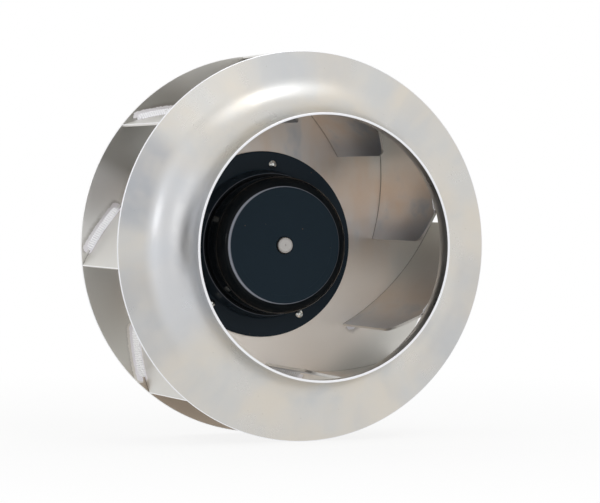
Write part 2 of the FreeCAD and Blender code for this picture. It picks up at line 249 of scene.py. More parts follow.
@dataclass(frozen=True)
class PaintedLightSide:
    """Sector round the axis that gets painted light, or painted shade where its colour is dark:
    its middle, colour, strength and reach.
    """

    aim: Spot
    colour: str
    share: float
    reach: Span

    def film(self, spokes: Field, mask: Any = 1.0) -> tuple[Field, str]:
        """Finds where the side's painted light lies.

        Args:
            spokes: Place divided by the radius.
            mask: Where the painted light may lie, from zero to one.

        Returns:
            The painted light's share and its colour.
        """
        aside = spokes.then(Kind.TOWARDS, self.aim, out="Value")
        spread = aside.then(Kind.EASE, *self.reach, 0.0, self.share)
        return spread.then(Kind.MULTIPLY, mask), self.colour


@dataclass(frozen=True)
class SpunAluminium(Finish):
    """Spun sheet: faint rings left by the roller, satin sheen, radial polish marks, specks,
    painted reflections of dim surroundings by side and on the bend, and a painted highlight on
    the cut edges.
    """

    ring_pitch: float = 1.6 * MM
    ring_slant: float = 0.35
    ring_swing: float = 0.03
    smudge: float = 60 * MM
    smudge_swing: float = 0.04
    streak_turn: float = 0.22
    streak_swing: float = 0.07
    warm: str = "#d5cfc5"
    cool: str = "#bfc3c7"
    cool_share: float = 0.45
    cool_start: Span = (0.45, 0.75)
    speck_spacing: float = 11 * MM
    speck_colour: str = "#837d72"
    speck_share: float = 0.5
    speck_size: Span = (0.02, 0.05)
    trim_radius: float = 201.3 * MM
    lip_station: float = -226.2 * MM
    # Painted highlight on the cut edges of the rim and of the lip.
    trim_painted_highlight_colour: str = "#eff0f3"
    # Size of the patches, and the radius outward of which they lie, for the painted reflections
    # of dim surroundings.
    patch_size: float = 34 * MM
    painted_reflection_start: Span = (165 * MM, 180 * MM)
    painted_reflection_gaps: tuple[float, ...] = (0.35, 0.6, 0.6, 1.0)
    # Sectors painted darker as reflections of dim surroundings: upper left, lower left, lower
    # right and top.
    painted_light_sides: tuple[PaintedLightSide, ...] = (
        PaintedLightSide((-0.934, 0.0, 0.358), "#a2a7b0", 0.7, (0.95, 0.99)),
        PaintedLightSide((-0.930, 0.0, -0.366), "#a2a7b0", 0.38, (0.93, 0.99)),
        PaintedLightSide((0.900, 0.0, -0.436), "#a2a7b0", 0.28, (0.88, 0.98)),
        PaintedLightSide((-0.050, 0.0, 0.999), "#a2a7b0", 0.25, (0.92, 0.99)),
    )
    # Cool painted reflection on the left of the inlet bend.
    bend_painted_reflection_colour: str = "#c6cad1"
    bend_painted_reflection_share: float = 0.65
    bend_painted_reflection_turn: Span = (-0.95, -0.7)

    def pattern(self, place: Field, shader: bpy.types.Node) -> None:
        """Rings about the axis, drawn coarser than the real 0.3 mm so that they show.

        Args:
            place: Object coordinates in metres.
            shader: The material's shader.
        """
        radius, station, x, spokes = polar(place)
        rings = radius.then(Kind.COMBINE, station.then(Kind.MULTIPLY, self.ring_slant))
        fine = rings.then(Kind.NOISE, Scale=1 / self.ring_pitch, Detail=2.0)
        smudges = place.then(Kind.NOISE, Scale=1 / self.smudge, Detail=3.0)
        streaks = spokes.then(Kind.NOISE, Scale=1 / self.streak_turn, Detail=3.0)
        clouds = place.then(Kind.NOISE, Scale=1 / self.patch_size, Detail=2.0)
        cells = place.then(Kind.CELLS, Scale=1 / self.speck_spacing, out="Distance")
        # Where the painted reflections may lie: in patches, from a radius outward.
        outward = radius.then(Kind.EASE, *self.painted_reflection_start, 0.0, 1.0)
        mask = clouds.then(Kind.EASE, *self.painted_reflection_gaps).then(Kind.MULTIPLY, outward)
        inward = outward.then(Kind.MULTIPLY_ADD, -1.0, 1.0)
        turned = x.then(Kind.DIVIDE, radius)
        # Painted reflection: cool on the left of the inlet bend, inward of the patches.
        bend = turned.then(Kind.EASE, *self.bend_painted_reflection_turn, self.bend_painted_reflection_share, 0.0)
        lip = station.then(Kind.LESS, self.lip_station)
        colour = self.layered(
            (smudges.then(Kind.EASE, *CLOUD, 0.0, 1.0), self.warm),
            (streaks.then(Kind.EASE, *self.cool_start, 0.0, self.cool_share), self.cool),
            # Painted reflections of dim surroundings, side by side.
            *[side.film(spokes, mask) for side in self.painted_light_sides],
            (bend.then(Kind.MULTIPLY, inward), self.bend_painted_reflection_colour),
            (cells.then(Kind.EASE, *self.speck_size, self.speck_share, 0.0),
             self.speck_colour),
            # Painted highlight on the cut rim and lip.
            (radius.then(Kind.GREATER, self.trim_radius).then(Kind.MAXIMUM, lip),
             self.trim_painted_highlight_colour))
        rough = self.swung(fine, self.ring_swing)
        for field, swing in ((streaks, self.streak_swing), (smudges, self.smudge_swing)):
            rough = field.then(Kind.EASE, *CLOUD, -swing, swing).then(Kind.ADD, rough)
        self.lay(shader, colour, rough)


@dataclass(frozen=True)
class SheetAluminium(Finish):
    """Rolled sheet: long faint grain, with cleaned rims and heat stain beside the welds, and
    painted light, shade, reflections and highlights by side, along the blades, at the roots and
    on cut edges.
    """

    grain: float = 1.8 * MM
    grain_length: float = 60 * MM
    grain_depth: float = 0.01 * MM
    patch_size: float = 75 * MM
    film_drawn: Spot = (2.2, 1.0, 1.0)
    grain_swing: float = 0.08
    warm: str = "#d0beae"
    warm_share: float = 0.9
    cool: str = "#9da8b5"
    cool_share: float = 0.6
    cool_end: Span = (0.3, 0.45)
    rear_side: Span = (0.4, 0.6)
    rear_calm: float = 0.3
    # Painted reflections along the blades: blue-grey near the lead, beige in the middle.
    lead_painted_reflection_colour: str = "#8592a3"
    lead_painted_reflection_share: float = 0.6
    lead_painted_reflection_reach: Span = (6 * MM, 34 * MM)
    middle_painted_reflection_colour: str = "#dfc1a2"
    middle_painted_reflection_share: float = 0.42
    middle_painted_reflection_start: Span = (32 * MM, 58 * MM)
    middle_painted_reflection_end: Span = (78 * MM, 115 * MM)
    # Painted light on the lower front of the backplate; the sheet there is also matter and a
    # little less metallic.
    painted_light_colour: str = "#fff8f0"
    painted_light_aim: Spot = (-0.07, 0.0, -0.998)
    painted_light_reach: Span = (-28 * MM, 42 * MM)
    painted_light_share: float = 0.95
    painted_light_metallic: float = 0.8
    painted_light_matt: float = 0.12
    shade_colour: str = "#8f8881"
    shade_reach: Span = (-130 * MM, -20 * MM)
    shade_share: float = 0.3
    # The outer ring goes back towards the plain sheet colour, over the painted light and shade
    # laid on further in.
    outer_plain_colour: str = "#d0cfca"
    outer_plain_reach: Span = (140 * MM, 175 * MM)
    outer_plain_share: float = 0.9
    outlet: Span = (155 * MM, 170 * MM)
    # Painted shade on the upper left and lower left, and painted light on the left, on the outer
    # front of the backplate.
    painted_light_sides: tuple[PaintedLightSide, ...] = (
        PaintedLightSide((-0.750, 0.0, 0.660), "#6b6a66", 0.4, (0.91, 0.99)),
        PaintedLightSide((-0.980, 0.0, 0.200), "#ffffff", 0.9, (0.955, 0.995)),
        PaintedLightSide((-0.440, 0.0, -0.900), "#af9c88", 0.8, (0.90, 0.98)),
    )
    # Painted shade on the blades of the lower right.
    blade_painted_shade_side: PaintedLightSide = PaintedLightSide((0.940, 0.0, -0.342), "#7f7a76", 0.45, (0.90, 0.97))
    ragged: float = 3 * MM
    fade: float = 0.8 * MM
    clean_width: float = 8.8 * MM
    clean_colour: str = "#f3f1f5"
    clean_matt: float = 0.12
    stain_width: float = 14 * MM
    stain_colour: str = "#96908c"
    stain_size: float = 22 * MM
    stain_shares: Span = (0.1, 0.6)
    # A band beside the welds, painted light on the lower left only.
    painted_light_band_side: PaintedLightSide = PaintedLightSide((-0.806, 0.0, -0.592), "#e4e0db", 1.0, (0.90, 0.96))
    painted_light_band_width: float = 11.6 * MM
    # Painted shade in the crease where a blade stands on the backplate.
    root_painted_shade_colour: str = "#332c27"
    # Sheared edges of the blades, drawn lighter as a painted highlight.
    cut_painted_highlight_colour: str = "#dedcd8"
    trim_radius: float = 201.3 * MM
    # Painted highlight on the cut rim of the backplate.
    trim_painted_highlight_colour: str = "#f4f4f4"
    blotch_size: float = 45 * MM
    blotch_swing: float = 0.10

    def pattern(self, place: Field, shader: bpy.types.Node) -> None:
        """Grain follows the sheet's own map; rims follow the distance to the nearest weld.

        Args:
            place: Object coordinates in metres.
            shader: The material's shader.
        """
        tree = place.tree
        radius, _, _, spokes = polar(place)
        sheet = add_node(tree, "ShaderNodeUVMap", uv_map="sheet")
        weld, root_painted_shade, cut = (
            add_node(tree, "ShaderNodeAttribute", attribute_name=name, out="Fac")
            for name in ("weld_distance", "root_painted_shade", "cut"))
        facing = add_node(tree, "ShaderNodeNewGeometry", out="Normal").then(Kind.SEPARATE, out=1)
        front = facing.then(Kind.LESS, -SIDEWAYS)
        blade = facing.then(Kind.ABSOLUTE).then(Kind.LESS, SIDEWAYS)
        stretch = (1 / self.grain_length, 1 / self.grain, 1.0)
        grain = sheet.then(Kind.STRETCH, stretch).then(Kind.NOISE, Scale=1.0, Detail=3.0)
        drawn = sheet.then(Kind.STRETCH, self.film_drawn)
        film = drawn.then(Kind.NOISE, Scale=1 / self.patch_size, Detail=3.0)
        patches, ragged, blotch = (
            place.then(Kind.NOISE, Scale=1 / size, Detail=detail)
            for size, detail in ((self.stain_size, 3.0), (self.ragged, 4.0),
                                 (self.blotch_size, 4.0)))
        calm = facing.then(Kind.EASE, *self.rear_side, 1.0, self.rear_calm)
        along = sheet.then(Kind.SEPARATE, out=0)
        # Painted reflections along the blades, by distance from the lead.
        lead = along.then(Kind.EASE, *self.lead_painted_reflection_reach, self.lead_painted_reflection_share, 0.0)
        middle = along.then(Kind.EASE, *self.middle_painted_reflection_start, 0.0, self.middle_painted_reflection_share).then(
            Kind.MULTIPLY, along.then(Kind.EASE, *self.middle_painted_reflection_end, 1.0, 0.0))
        # Painted light low on the front face, painted shade high on it.
        aside = place.then(Kind.TOWARDS, self.painted_light_aim, out="Value")
        pale, shade, outer = (
            source.then(Kind.EASE, *span, *shares).then(Kind.MULTIPLY, front)
            for source, span, shares in ((aside, self.painted_light_reach, (0.0, self.painted_light_share)),
                                         (aside, self.shade_reach, (self.shade_share, 0.0)),
                                         (radius, self.outlet, (0.0, 1.0))))
        away = ragged.then(Kind.MULTIPLY_ADD, self.ragged, weld).then(
            Kind.SUBTRACT, self.ragged / 2)
        painted_light_band, clean, stain = (
            away.then(Kind.EASE, start, end, 1.0, 0.0)
            for start, end in ((self.painted_light_band_width - self.fade, self.painted_light_band_width),
                               (self.clean_width - self.fade, self.clean_width),
                               (self.clean_width, self.stain_width)))
        colour = self.layered(
            (film.then(Kind.EASE, *CLOUD, 0.0, self.warm_share).then(Kind.MULTIPLY, calm),
             self.warm),
            (film.then(Kind.EASE, *self.cool_end, self.cool_share, 0.0).then(
                Kind.MULTIPLY, calm), self.cool),
            # Painted reflections on the blades.
            (middle.then(Kind.MULTIPLY, blade), self.middle_painted_reflection_colour),
            (lead.then(Kind.MULTIPLY, blade), self.lead_painted_reflection_colour),
            # Painted light on the lower front.
            (pale, self.painted_light_colour),
            (shade, self.shade_colour),
            # Plain sheet colour on the outer ring.
            (radius.then(Kind.EASE, *self.outer_plain_reach, 0.0, self.outer_plain_share),
             self.outer_plain_colour),
            # Painted light and shade by side on the outer front.
            *[side.film(spokes, outer) for side in self.painted_light_sides],
            # Painted shade on the blades of the lower right.
            self.blade_painted_shade_side.film(spokes, blade),
            (patches.then(Kind.EASE, *CLOUD, *self.stain_shares).then(Kind.MULTIPLY, stain),
             self.stain_colour),
            # Painted light beside the welds on the lower left.
            self.painted_light_band_side.film(spokes, painted_light_band),
            (clean, self.clean_colour),
            # Painted shade at the blade roots.
            (root_painted_shade, self.root_painted_shade_colour),
            # Painted highlight on the blades' cut edges.
            (cut, self.cut_painted_highlight_colour),
            # Painted highlight on the cut rim.
            (radius.then(Kind.GREATER, self.trim_radius), self.trim_painted_highlight_colour))
        # The painted light also takes the metallic value a little down there.
        metal = pale.then(
            Kind.MULTIPLY_ADD, self.painted_light_metallic - self.metallic, self.metallic)
        tree.links.new(metal.socket, shader.inputs["Metallic"])
        rough = self.swung(grain, self.grain_swing)
        for field, swing in ((blotch, self.blotch_swing), (clean, self.clean_matt),
                             (pale, self.painted_light_matt)):
            rough = field.then(Kind.MULTIPLY_ADD, swing, rough)
        rough = rough.then(Kind.SUBTRACT, self.blotch_swing / 2)
        self.lay(shader, colour, rough, grain, self.grain_depth)


@dataclass(frozen=True)
class WeldMetal(Finish):
    """Cast weld metal: bright, finely pitted, with soot in places, painted shade in the ripple
    troughs and painted light on the lower left.
    """

    soot: str = "#8d857a"
    soot_size: float = 5 * MM
    soot_start: Span = (0.6, 0.8)
    soot_share: float = 0.5
    # Painted shade in the troughs between ripples.
    trough_painted_shade: str = "#bfbec5"
    trough_painted_shade_end: Span = (0.2, 0.75)
    pit: float = 0.8 * MM
    pit_depth: float = 0.04 * MM
    # Painted light on the beads of the lower left.
    bead_painted_light_side: PaintedLightSide = PaintedLightSide((-0.806, 0.0, -0.592), "#ffffff", 0.8, (0.90, 0.96))

    def pattern(self, place: Field, shader: bpy.types.Node) -> None:
        """Pits under a millimetre, soot patches of a few, painted shade in the troughs between
        ripples and painted light on one side.

        Args:
            place: Object coordinates in metres.
            shader: The material's shader.
        """
        soot = place.then(Kind.NOISE, Scale=1 / self.soot_size, Detail=4.0)
        crest = add_node(place.tree, "ShaderNodeAttribute", attribute_name="crest", out="Fac")
        colour = self.layered(
            # Painted shade in the ripple troughs.
            (crest.then(Kind.EASE, *self.trough_painted_shade_end, 1.0, 0.0), self.trough_painted_shade),
            (soot.then(Kind.EASE, *self.soot_start, 0.0, self.soot_share), self.soot),
            # Painted light on the lower left.
            self.bead_painted_light_side.film(polar(place)[3]))
        self.lay(shader, colour, None, place.then(Kind.NOISE, Scale=1 / self.pit, Detail=2.0),
                 self.pit_depth)


@dataclass(frozen=True)
class BlackEnamel(Finish):
    """Sprayed black enamel: deep gloss, slight orange peel, a few dust specks, a painted
    reflection on the front face and a painted highlight round its edge.
    """

    metallic: float = 0.0
    specular: float = 0.06
    peel: float = 2.2 * MM
    peel_depth: float = 0.015 * MM
    speck_spacing: float = 16 * MM
    speck_colour: str = "#6d5a48"
    speck_share: float = 0.75
    speck_size: Span = (0.018, 0.05)
    face_station: float = -107 * MM
    # Flat front face; on the can it is a navy painted reflection against the black.
    face_colour: str = "#1f2d37"
    scuff_radius: float = 53 * MM
    scuff_width: Span = (0.1 * MM, 0.5 * MM)
    scuff_length: float = 30 * MM
    scuff_breaks: Span = (0.45, 0.6)
    scuff_matt: float = 0.3
    haze_size: float = 35 * MM
    haze_swing: float = 0.08
    edge_radius: float = 61.7 * MM
    # Painted highlight round the face's edge, wider and stronger on the left.
    edge_painted_highlight_core: float = 0.2 * MM
    edge_painted_highlight_width: float = 2.0 * MM
    far_edge_painted_highlight_width: float = 0.7 * MM
    edge_painted_highlight_share: float = 0.85
    far_edge_painted_highlight_share: float = 0.12
    edge_painted_highlight_colour: str = "#b4b9c6"

    def pattern(self, place: Field, shader: bpy.types.Node) -> None:
        """Peel from the spray, dust, a faint turned scuff, a painted reflection on the face and
        a painted highlight round its edge, stronger on one side.

        Args:
            place: Object coordinates in metres.
            shader: The material's shader.
        """
        shader.inputs["Specular IOR Level"].default_value = self.specular
        radius, station, x, _ = polar(place)
        cells = place.then(Kind.CELLS, Scale=1 / self.speck_spacing, out="Distance")
        on_face = station.then(Kind.LESS, self.face_station)
        inside = radius.then(Kind.LESS, self.edge_radius)
        off_edge, off_scuff = (
            radius.then(Kind.SUBTRACT, ring).then(Kind.ABSOLUTE)
            for ring in (self.edge_radius, self.scuff_radius))
        # Painted highlight round the edge: wider and stronger towards the left.
        wide = x.then(Kind.EASE, -self.edge_radius, 0.0, self.edge_painted_highlight_width, self.far_edge_painted_highlight_width)
        strong = x.then(Kind.EASE, -self.edge_radius, self.edge_radius, self.edge_painted_highlight_share,
                        self.far_edge_painted_highlight_share)
        lightening = off_edge.then(Kind.EASE, self.edge_painted_highlight_core, wide, strong, 0.0)
        colour = self.layered(
            # Painted reflection on the front face.
            (inside.then(Kind.MULTIPLY, on_face), self.face_colour),
            (cells.then(Kind.EASE, *self.speck_size, self.speck_share, 0.0),
             self.speck_colour),
            (lightening.then(Kind.MULTIPLY, on_face), self.edge_painted_highlight_colour))
        broken, haze = (place.then(Kind.NOISE, Scale=1 / size, Detail=3.0)
                        for size in (self.scuff_length, self.haze_size))
        scuff = off_scuff.then(Kind.EASE, *self.scuff_width, 1.0, 0.0).then(
            Kind.MULTIPLY, on_face).then(
            Kind.MULTIPLY, broken.then(Kind.EASE, *self.scuff_breaks, 0.0, 1.0))
        rough = scuff.then(
            Kind.MULTIPLY_ADD, self.scuff_matt, self.swung(haze, self.haze_swing))
        self.lay(shader, colour, rough, place.then(Kind.NOISE, Scale=1 / self.peel, Detail=1.0),
                 self.peel_depth)


@dataclass(frozen=True)
class TurnedSteel(Finish):
    """Lathe-turned or ground steel: fine rings about the spin axis."""

    ring_pitch: float = 0.7 * MM
    ring_depth: float = 0.02 * MM
    ring_swing: float = 0.12

    def pattern(self, place: Field, shader: bpy.types.Node) -> None:
        """Tool rings, in radius on faces and in station on walls.

        Args:
            place: Object coordinates in metres.
            shader: The material's shader.
        """
        radius, station, _, _ = polar(place)
        rings = radius.then(Kind.COMBINE, station)
        fine = rings.then(Kind.NOISE, Scale=1 / self.ring_pitch, Detail=2.0)
        self.lay(shader, None, self.swung(fine, self.ring_swing), fine, self.ring_depth)


@dataclass(frozen=True)
class ZincPlate(Finish):
    """Bright zinc plating: clear silver with a faint cool mottle."""

    cool: str = "#c2c7ca"
    mottle: float = 2 * MM
    mottle_swing: float = 0.15
    shine: float = 0.07

    def pattern(self, place: Field, shader: bpy.types.Node) -> None:
        """Mottle of about two millimetres.

        Args:
            place: Object coordinates in metres.
            shader: The material's shader.
        """
        mottle = place.then(Kind.NOISE, Scale=1 / self.mottle, Detail=3.0)
        self.lay(shader, self.layered((mottle, self.cool)),
                 mottle.then(Kind.MULTIPLY_ADD, self.mottle_swing, self.roughness - self.shine))


@dataclass(frozen=True)
class CastAluminium(Finish):
    """Die-cast aluminium: matt skin with flow marks and fine pebble."""

    pebble: float = 1.2 * MM
    pebble_depth: float = 0.06 * MM
    pebble_swing: float = 0.14
    flow: float = 18 * MM
    flow_colour: str = "#8f9193"
    flow_share: float = 0.7

    def pattern(self, place: Field, shader: bpy.types.Node) -> None:
        """Pebble of the die skin over broad flow marks.

        Args:
            place: Object coordinates in metres.
            shader: The material's shader.
        """
        flow = place.then(Kind.NOISE, Scale=1 / self.flow, Detail=5.0)
        pebble = place.then(Kind.NOISE, Scale=1 / self.pebble, Detail=2.0)
        marks = flow.then(Kind.EASE, *CLOUD, 0.0, self.flow_share)
        colour = self.layered((marks, self.flow_colour))
        self.lay(shader, colour, self.swung(pebble, self.pebble_swing), pebble,
                 self.pebble_depth)


@dataclass(frozen=True)
class Laminations(Finish):
    """Stack of punched electrical sheet: dark edges and light gaps along Y."""

    sheet_step: float = 1.0 * MM
    gap_colour: str = "#2c2d2f"
    gap_start: Span = (0.2, 0.9)
    gap_depth: float = 0.05 * MM

    def pattern(self, place: Field, shader: bpy.types.Node) -> None:
        """Layers drawn at 1 mm; the real sheets of 0.5 mm would not show.

        Args:
            place: Object coordinates in metres.
            shader: The material's shader.
        """
        layers = polar(place)[1].then(Kind.MULTIPLY, TURN / self.sheet_step)
        gap = layers.then(Kind.SINE).then(Kind.EASE, *self.gap_start, 0.0, 1.0)
        self.lay(shader, self.layered((gap, self.gap_colour)), None, gap, -self.gap_depth)


@dataclass(frozen=True)
class CopperWire(Finish):
    """Enamelled copper wire: reddish gloss, strands of about a millimetre."""

    strand: float = 1.0 * MM
    strand_depth: float = 0.2 * MM
    # Painted shade in the grooves between the strands.
    gap_colour: str = "#5a2410"
    sway_length: float = 12 * MM
    sway: float = 3 * MM

    def pattern(self, place: Field, shader: bpy.types.Node) -> None:
        """Strands that run round the axis, slightly wavy.

        Args:
            place: Object coordinates in metres.
            shader: The material's shader.
        """
        radius, station, _, _ = polar(place)
        sway = place.then(Kind.NOISE, Scale=1 / self.sway_length, Detail=3.0)
        across = sway.then(Kind.MULTIPLY_ADD, self.sway, radius.then(Kind.ADD, station))
        wave = across.then(Kind.MULTIPLY, TURN / self.strand).then(Kind.SINE)
        # Painted shade between the strands.
        gap = wave.then(Kind.EASE, -1.0, 1.0, 1.0, 0.0)
        self.lay(shader, self.layered((gap, self.gap_colour)), None, gap, -self.strand_depth)


@dataclass(frozen=True)
class Moulded(Finish):
    """Moulded rubber or plastic: even colour with a fine matt grain."""

    metallic: float = 0.0
    lightening: str = "#ffffff"
    worn_share: float = 0.6
    drift: float = 9 * MM
    grain: float = 0.6 * MM
    grain_depth: float = 0.03 * MM

    def pattern(self, place: Field, shader: bpy.types.Node) -> None:
        """Grain of the mould and slight colour drift.

        Args:
            place: Object coordinates in metres.
            shader: The material's shader.
        """
        drift = place.then(Kind.NOISE, Scale=1 / self.drift, Detail=3.0)
        lightening = drift.then(Kind.EASE, *CLOUD, 0.0, self.worn_share)
        self.lay(shader, self.layered((lightening, self.lightening)), None,
                 place.then(Kind.NOISE, Scale=1 / self.grain, Detail=1.0), self.grain_depth)


class Skin(Enum):
    """Finishes of the fan, with their typical values matched to the photograph."""

    SHROUD = SpunAluminium("spun_aluminium", "#cdccc9", 0.34)
    SHEET = SheetAluminium("rolled_aluminium_sheet", "#d0cdca", 0.34, metallic=0.85)
    WELD = WeldMetal("weld_aluminium", "#fafafc", 0.5, metallic=0.1)
    ENAMEL = BlackEnamel("black_enamel", "#14181b", 0.14)
    # The same black enamel drawn as a lighter navy on the flange, a painted reflection; the
    # collar's top keeps a darker black, with a faint painted highlight at its edge.
    FLANGE_ENAMEL_PAINTED_REFLECTION = BlackEnamel(
        "black_enamel_with_painted_reflection_on_flange", "#2c3741", 0.2, face_colour="#15191d",
        face_station=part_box("hub_flange")[0][1] + 1.2 * MM, edge_radius=75.6 * MM,
        edge_painted_highlight_width=0.6 * MM, far_edge_painted_highlight_width=0.35 * MM, edge_painted_highlight_share=0.3, scuff_radius=74.0 * MM)
    ZINC = ZincPlate("zinc_plated_steel", "#e8e8e0", 0.2)
    GROUND = TurnedSteel("ground_steel", "#b2afac", 0.42)
    TURNED = TurnedSteel("turned_steel", "#a3a5a8", 0.34)
    SPRING = ZincPlate("phosphated_spring_steel", "#4a4c50", 0.45, cool="#3a3c41")
    CAST = CastAluminium("die_cast_aluminium", "#b6b8ba", 0.46)
    LAMINATIONS = Laminations("electrical_sheet", "#6f7174", 0.42)
    COPPER = CopperWire("enamelled_copper", "#b4602f", 0.3)
    INSULATION = Moulded("moulded_insulation", "#d9cfae", 0.5, lightening="#fff9d2")
    RUBBER = Moulded("moulded_rubber", "#1c1c1d", 0.6, lightening="#2e2e2f")


Finishes = Mapping[Skin, bpy.types.Material]


# Mesh helpers


def rounded(
    corners: Sequence[Spot], flats: Corner = Corner.SMALL, guard: float = 0.5 * MM,
) -> list[Span]:
    """Rounds the corners of a closed outline.

    Args:
        corners: Each is (radius, station, rounding); a rounding of zero stays sharp.
        flats: Flats of every rounding above five millimetres; smaller ones get few.
        guard: Length of a narrow facet beside each rounding that keeps flat faces flat.

    Returns:
        Points of the rounded outline.
    """
    points: list[Span] = []
    for index, (u, v, size) in enumerate(corners):
        here = Vector((u, v))
        if size <= 0:
            points.append((u, v))
            continue
        back = (Vector(corners[index - 1][:2]) - here).normalized()
        ahead = (Vector(corners[(index + 1) % len(corners)][:2]) - here).normalized()
        half = back.angle(ahead) / 2
        centre = here + (back + ahead).normalized() * (size / math.sin(half))
        first = here + back * (size / math.tan(half)) - centre
        last = here + ahead * (size / math.tan(half)) - centre
        sweep = first.angle(last)
        count = flats.value if size > 5 * MM else Corner.SMALL.value
        points.append(tuple(centre + first + back * guard))
        for step in range(count + 1):
            share = step / count
            arm = first * math.sin((1 - share) * sweep) + last * math.sin(share * sweep)
            points.append(tuple(centre + arm / math.sin(sweep)))
        points.append(tuple(centre + last + ahead * guard))
    return points


def hexagon(flats: float, limit: float = 1.0) -> Callable[[float], float]:
    """Radius of a hexagon at an angle.

    Args:
        flats: Size across flats in metres.
        limit: Radius that cuts off the hexagon's corners.

    Returns:
        Function from angle to radius.
    """

    def at(angle: float) -> float:
        """Radius of the hexagon at one angle."""
        turn = (angle + math.pi / 6) % (math.pi / 3) - math.pi / 6
        return min(flats / 2 / math.cos(turn), limit)

    return at


def add_piece(name: str, data: bpy.types.ID) -> bpy.types.Object:
    """Puts an object into the scene at the origin.

    Args:
        name: Name of the object.
        data: Its mesh, curve, lamp or camera data.

    Returns:
        The new object.
    """
    piece = bpy.data.objects.new(name, data)
    bpy.context.scene.collection.objects.link(piece)
    return piece


def solid(name: str, work: bmesh.types.BMesh) -> bpy.types.Object:
    """Turns finished bmesh work into a smooth-shaded piece.

    Args:
        name: Name of the piece.
        work: Closed faces; freed afterwards.

    Returns:
        The new object.
    """
    for face in work.faces:
        face.smooth = True
    mesh = bpy.data.meshes.new(name)
    work.to_mesh(mesh)
    work.free()
    return add_piece(name, mesh)


def turned_mesh(
    name: str, rings: Sequence[tuple[Radius, float]], steps: int, loop: bool = True,
    centre: Span = (0.0, 0.0),
) -> bpy.types.Object:
    """Surface of revolution about an axis parallel to Y.

    Args:
        name: Name of the piece.
        rings: Each is (radius, station); a radius of zero closes to a pole.
        steps: Facets round the axis.
        loop: Whether the last ring joins the first.
        centre: X and Z of the axis.

    Returns:
        A smooth-shaded object with outward faces.
    """
    work = bmesh.new()
    rows: list[list[bmesh.types.BMVert]] = []
    for radius, station in rings:
        pole = not callable(radius) and radius <= 0
        row = []
        for step in range(1 if pole else steps):
            angle = step * TURN / steps
            size = radius(angle) if callable(radius) else radius
            row.append(work.verts.new((centre[0] + size * math.cos(angle), station,
                                       centre[1] + size * math.sin(angle))))
        rows.append(row)
    for first, second in zip(rows, rows[1:] + rows[:1] if loop else rows[1:]):
        for step in range(steps):
            after = (step + 1) % steps
            corners = [first[step % len(first)], first[after % len(first)],
                       second[after % len(second)], second[step % len(second)]]
            work.faces.new(list(dict.fromkeys(corners)))
    bmesh.ops.recalc_face_normals(work, faces=work.faces)
    return solid(name, work)


def keep_edges(piece: bpy.types.Object, degrees: float = 35.0) -> None:
    """Marks edges sharper than an angle, so that smooth shading stops there."""
    piece.data.set_sharp_from_angle(angle=math.radians(degrees))


def paint(piece: bpy.types.Object, material: bpy.types.Material) -> None:
    """Gives every slot of a piece one material.

    Args:
        piece: Object to paint.
        material: Its finish.
    """
    if not piece.data.materials:
        piece.data.materials.append(material)
    for slot in piece.material_slots:
        slot.material = material


def hand_over(piece: bpy.types.Object, node: str) -> None:
    """Fixes a finished piece to the turning body and hides the CAD node that it stands for.

    Args:
        piece: Finished piece at the origin.
        node: CAD node that it replaces.
    """
    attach(piece, WHEEL_BODY)
    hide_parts(node)
    LOG.info("%s stands for %s", piece.name, node)


# Geometry Nodes


def new_tree(name: str, **inputs: str) -> tuple[dict[str, Field], bpy.types.NodeSocket]:
    """Starts a geometry tree.

    Args:
        name: Name of the tree.
        **inputs: Input names to socket kinds, after the geometry.

    Returns:
        The inputs by name, and the output's socket.
    """
    tree = bpy.data.node_groups.new(name, "GeometryNodeTree")
    given = {"Geometry": "Geometry", **inputs}
    for label, kind in given.items():
        tree.interface.new_socket(label, in_out="INPUT", socket_type=f"NodeSocket{kind}")
    tree.interface.new_socket("Geometry", in_out="OUTPUT", socket_type="NodeSocketGeometry")
    outputs = tree.nodes.new("NodeGroupInput").outputs
    fields = {label: Field(tree, outputs[label]) for label in given}
    return fields, tree.nodes.new("NodeGroupOutput").inputs[0]


def ring_tail(part: Field, given: Mapping[str, Field], output: bpy.types.NodeSocket) -> None:
    """Ends a tree: copies round the spin axis, realised, with their material.

    Args:
        part: Geometry that is repeated.
        given: Inputs of the tree, with Count, Start and Material.
        output: Output socket of the tree.
    """
    points = add_node(part.tree, "GeometryNodePoints", given["Count"])
    index = add_node(part.tree, "GeometryNodeInputIndex")
    share = index.then(Kind.DIVIDE, given["Count"])
    angle = share.then(Kind.MULTIPLY_ADD, TURN, given["Start"]).then(Kind.MULTIPLY, -1.0)
    about = add_node(part.tree, Kind.COMBINE, Y=angle)
    copies = points.then("GeometryNodeInstanceOnPoints", Instance=part, Rotation=about)
    dressed = copies.then("GeometryNodeRealizeInstances").then(
        "GeometryNodeSetMaterial", Material=given["Material"])
    part.tree.links.new(dressed.socket, output)


def ring_tree() -> bpy.types.NodeTree:
    """Makes the tree that repeats a part round the spin axis.

    Returns:
        The geometry tree.
    """
    given, output = new_tree("ring_of_parts", Count="Int", Start="Float", Material="Material")
    ring_tail(given["Geometry"], given, output)
    return given["Geometry"].tree


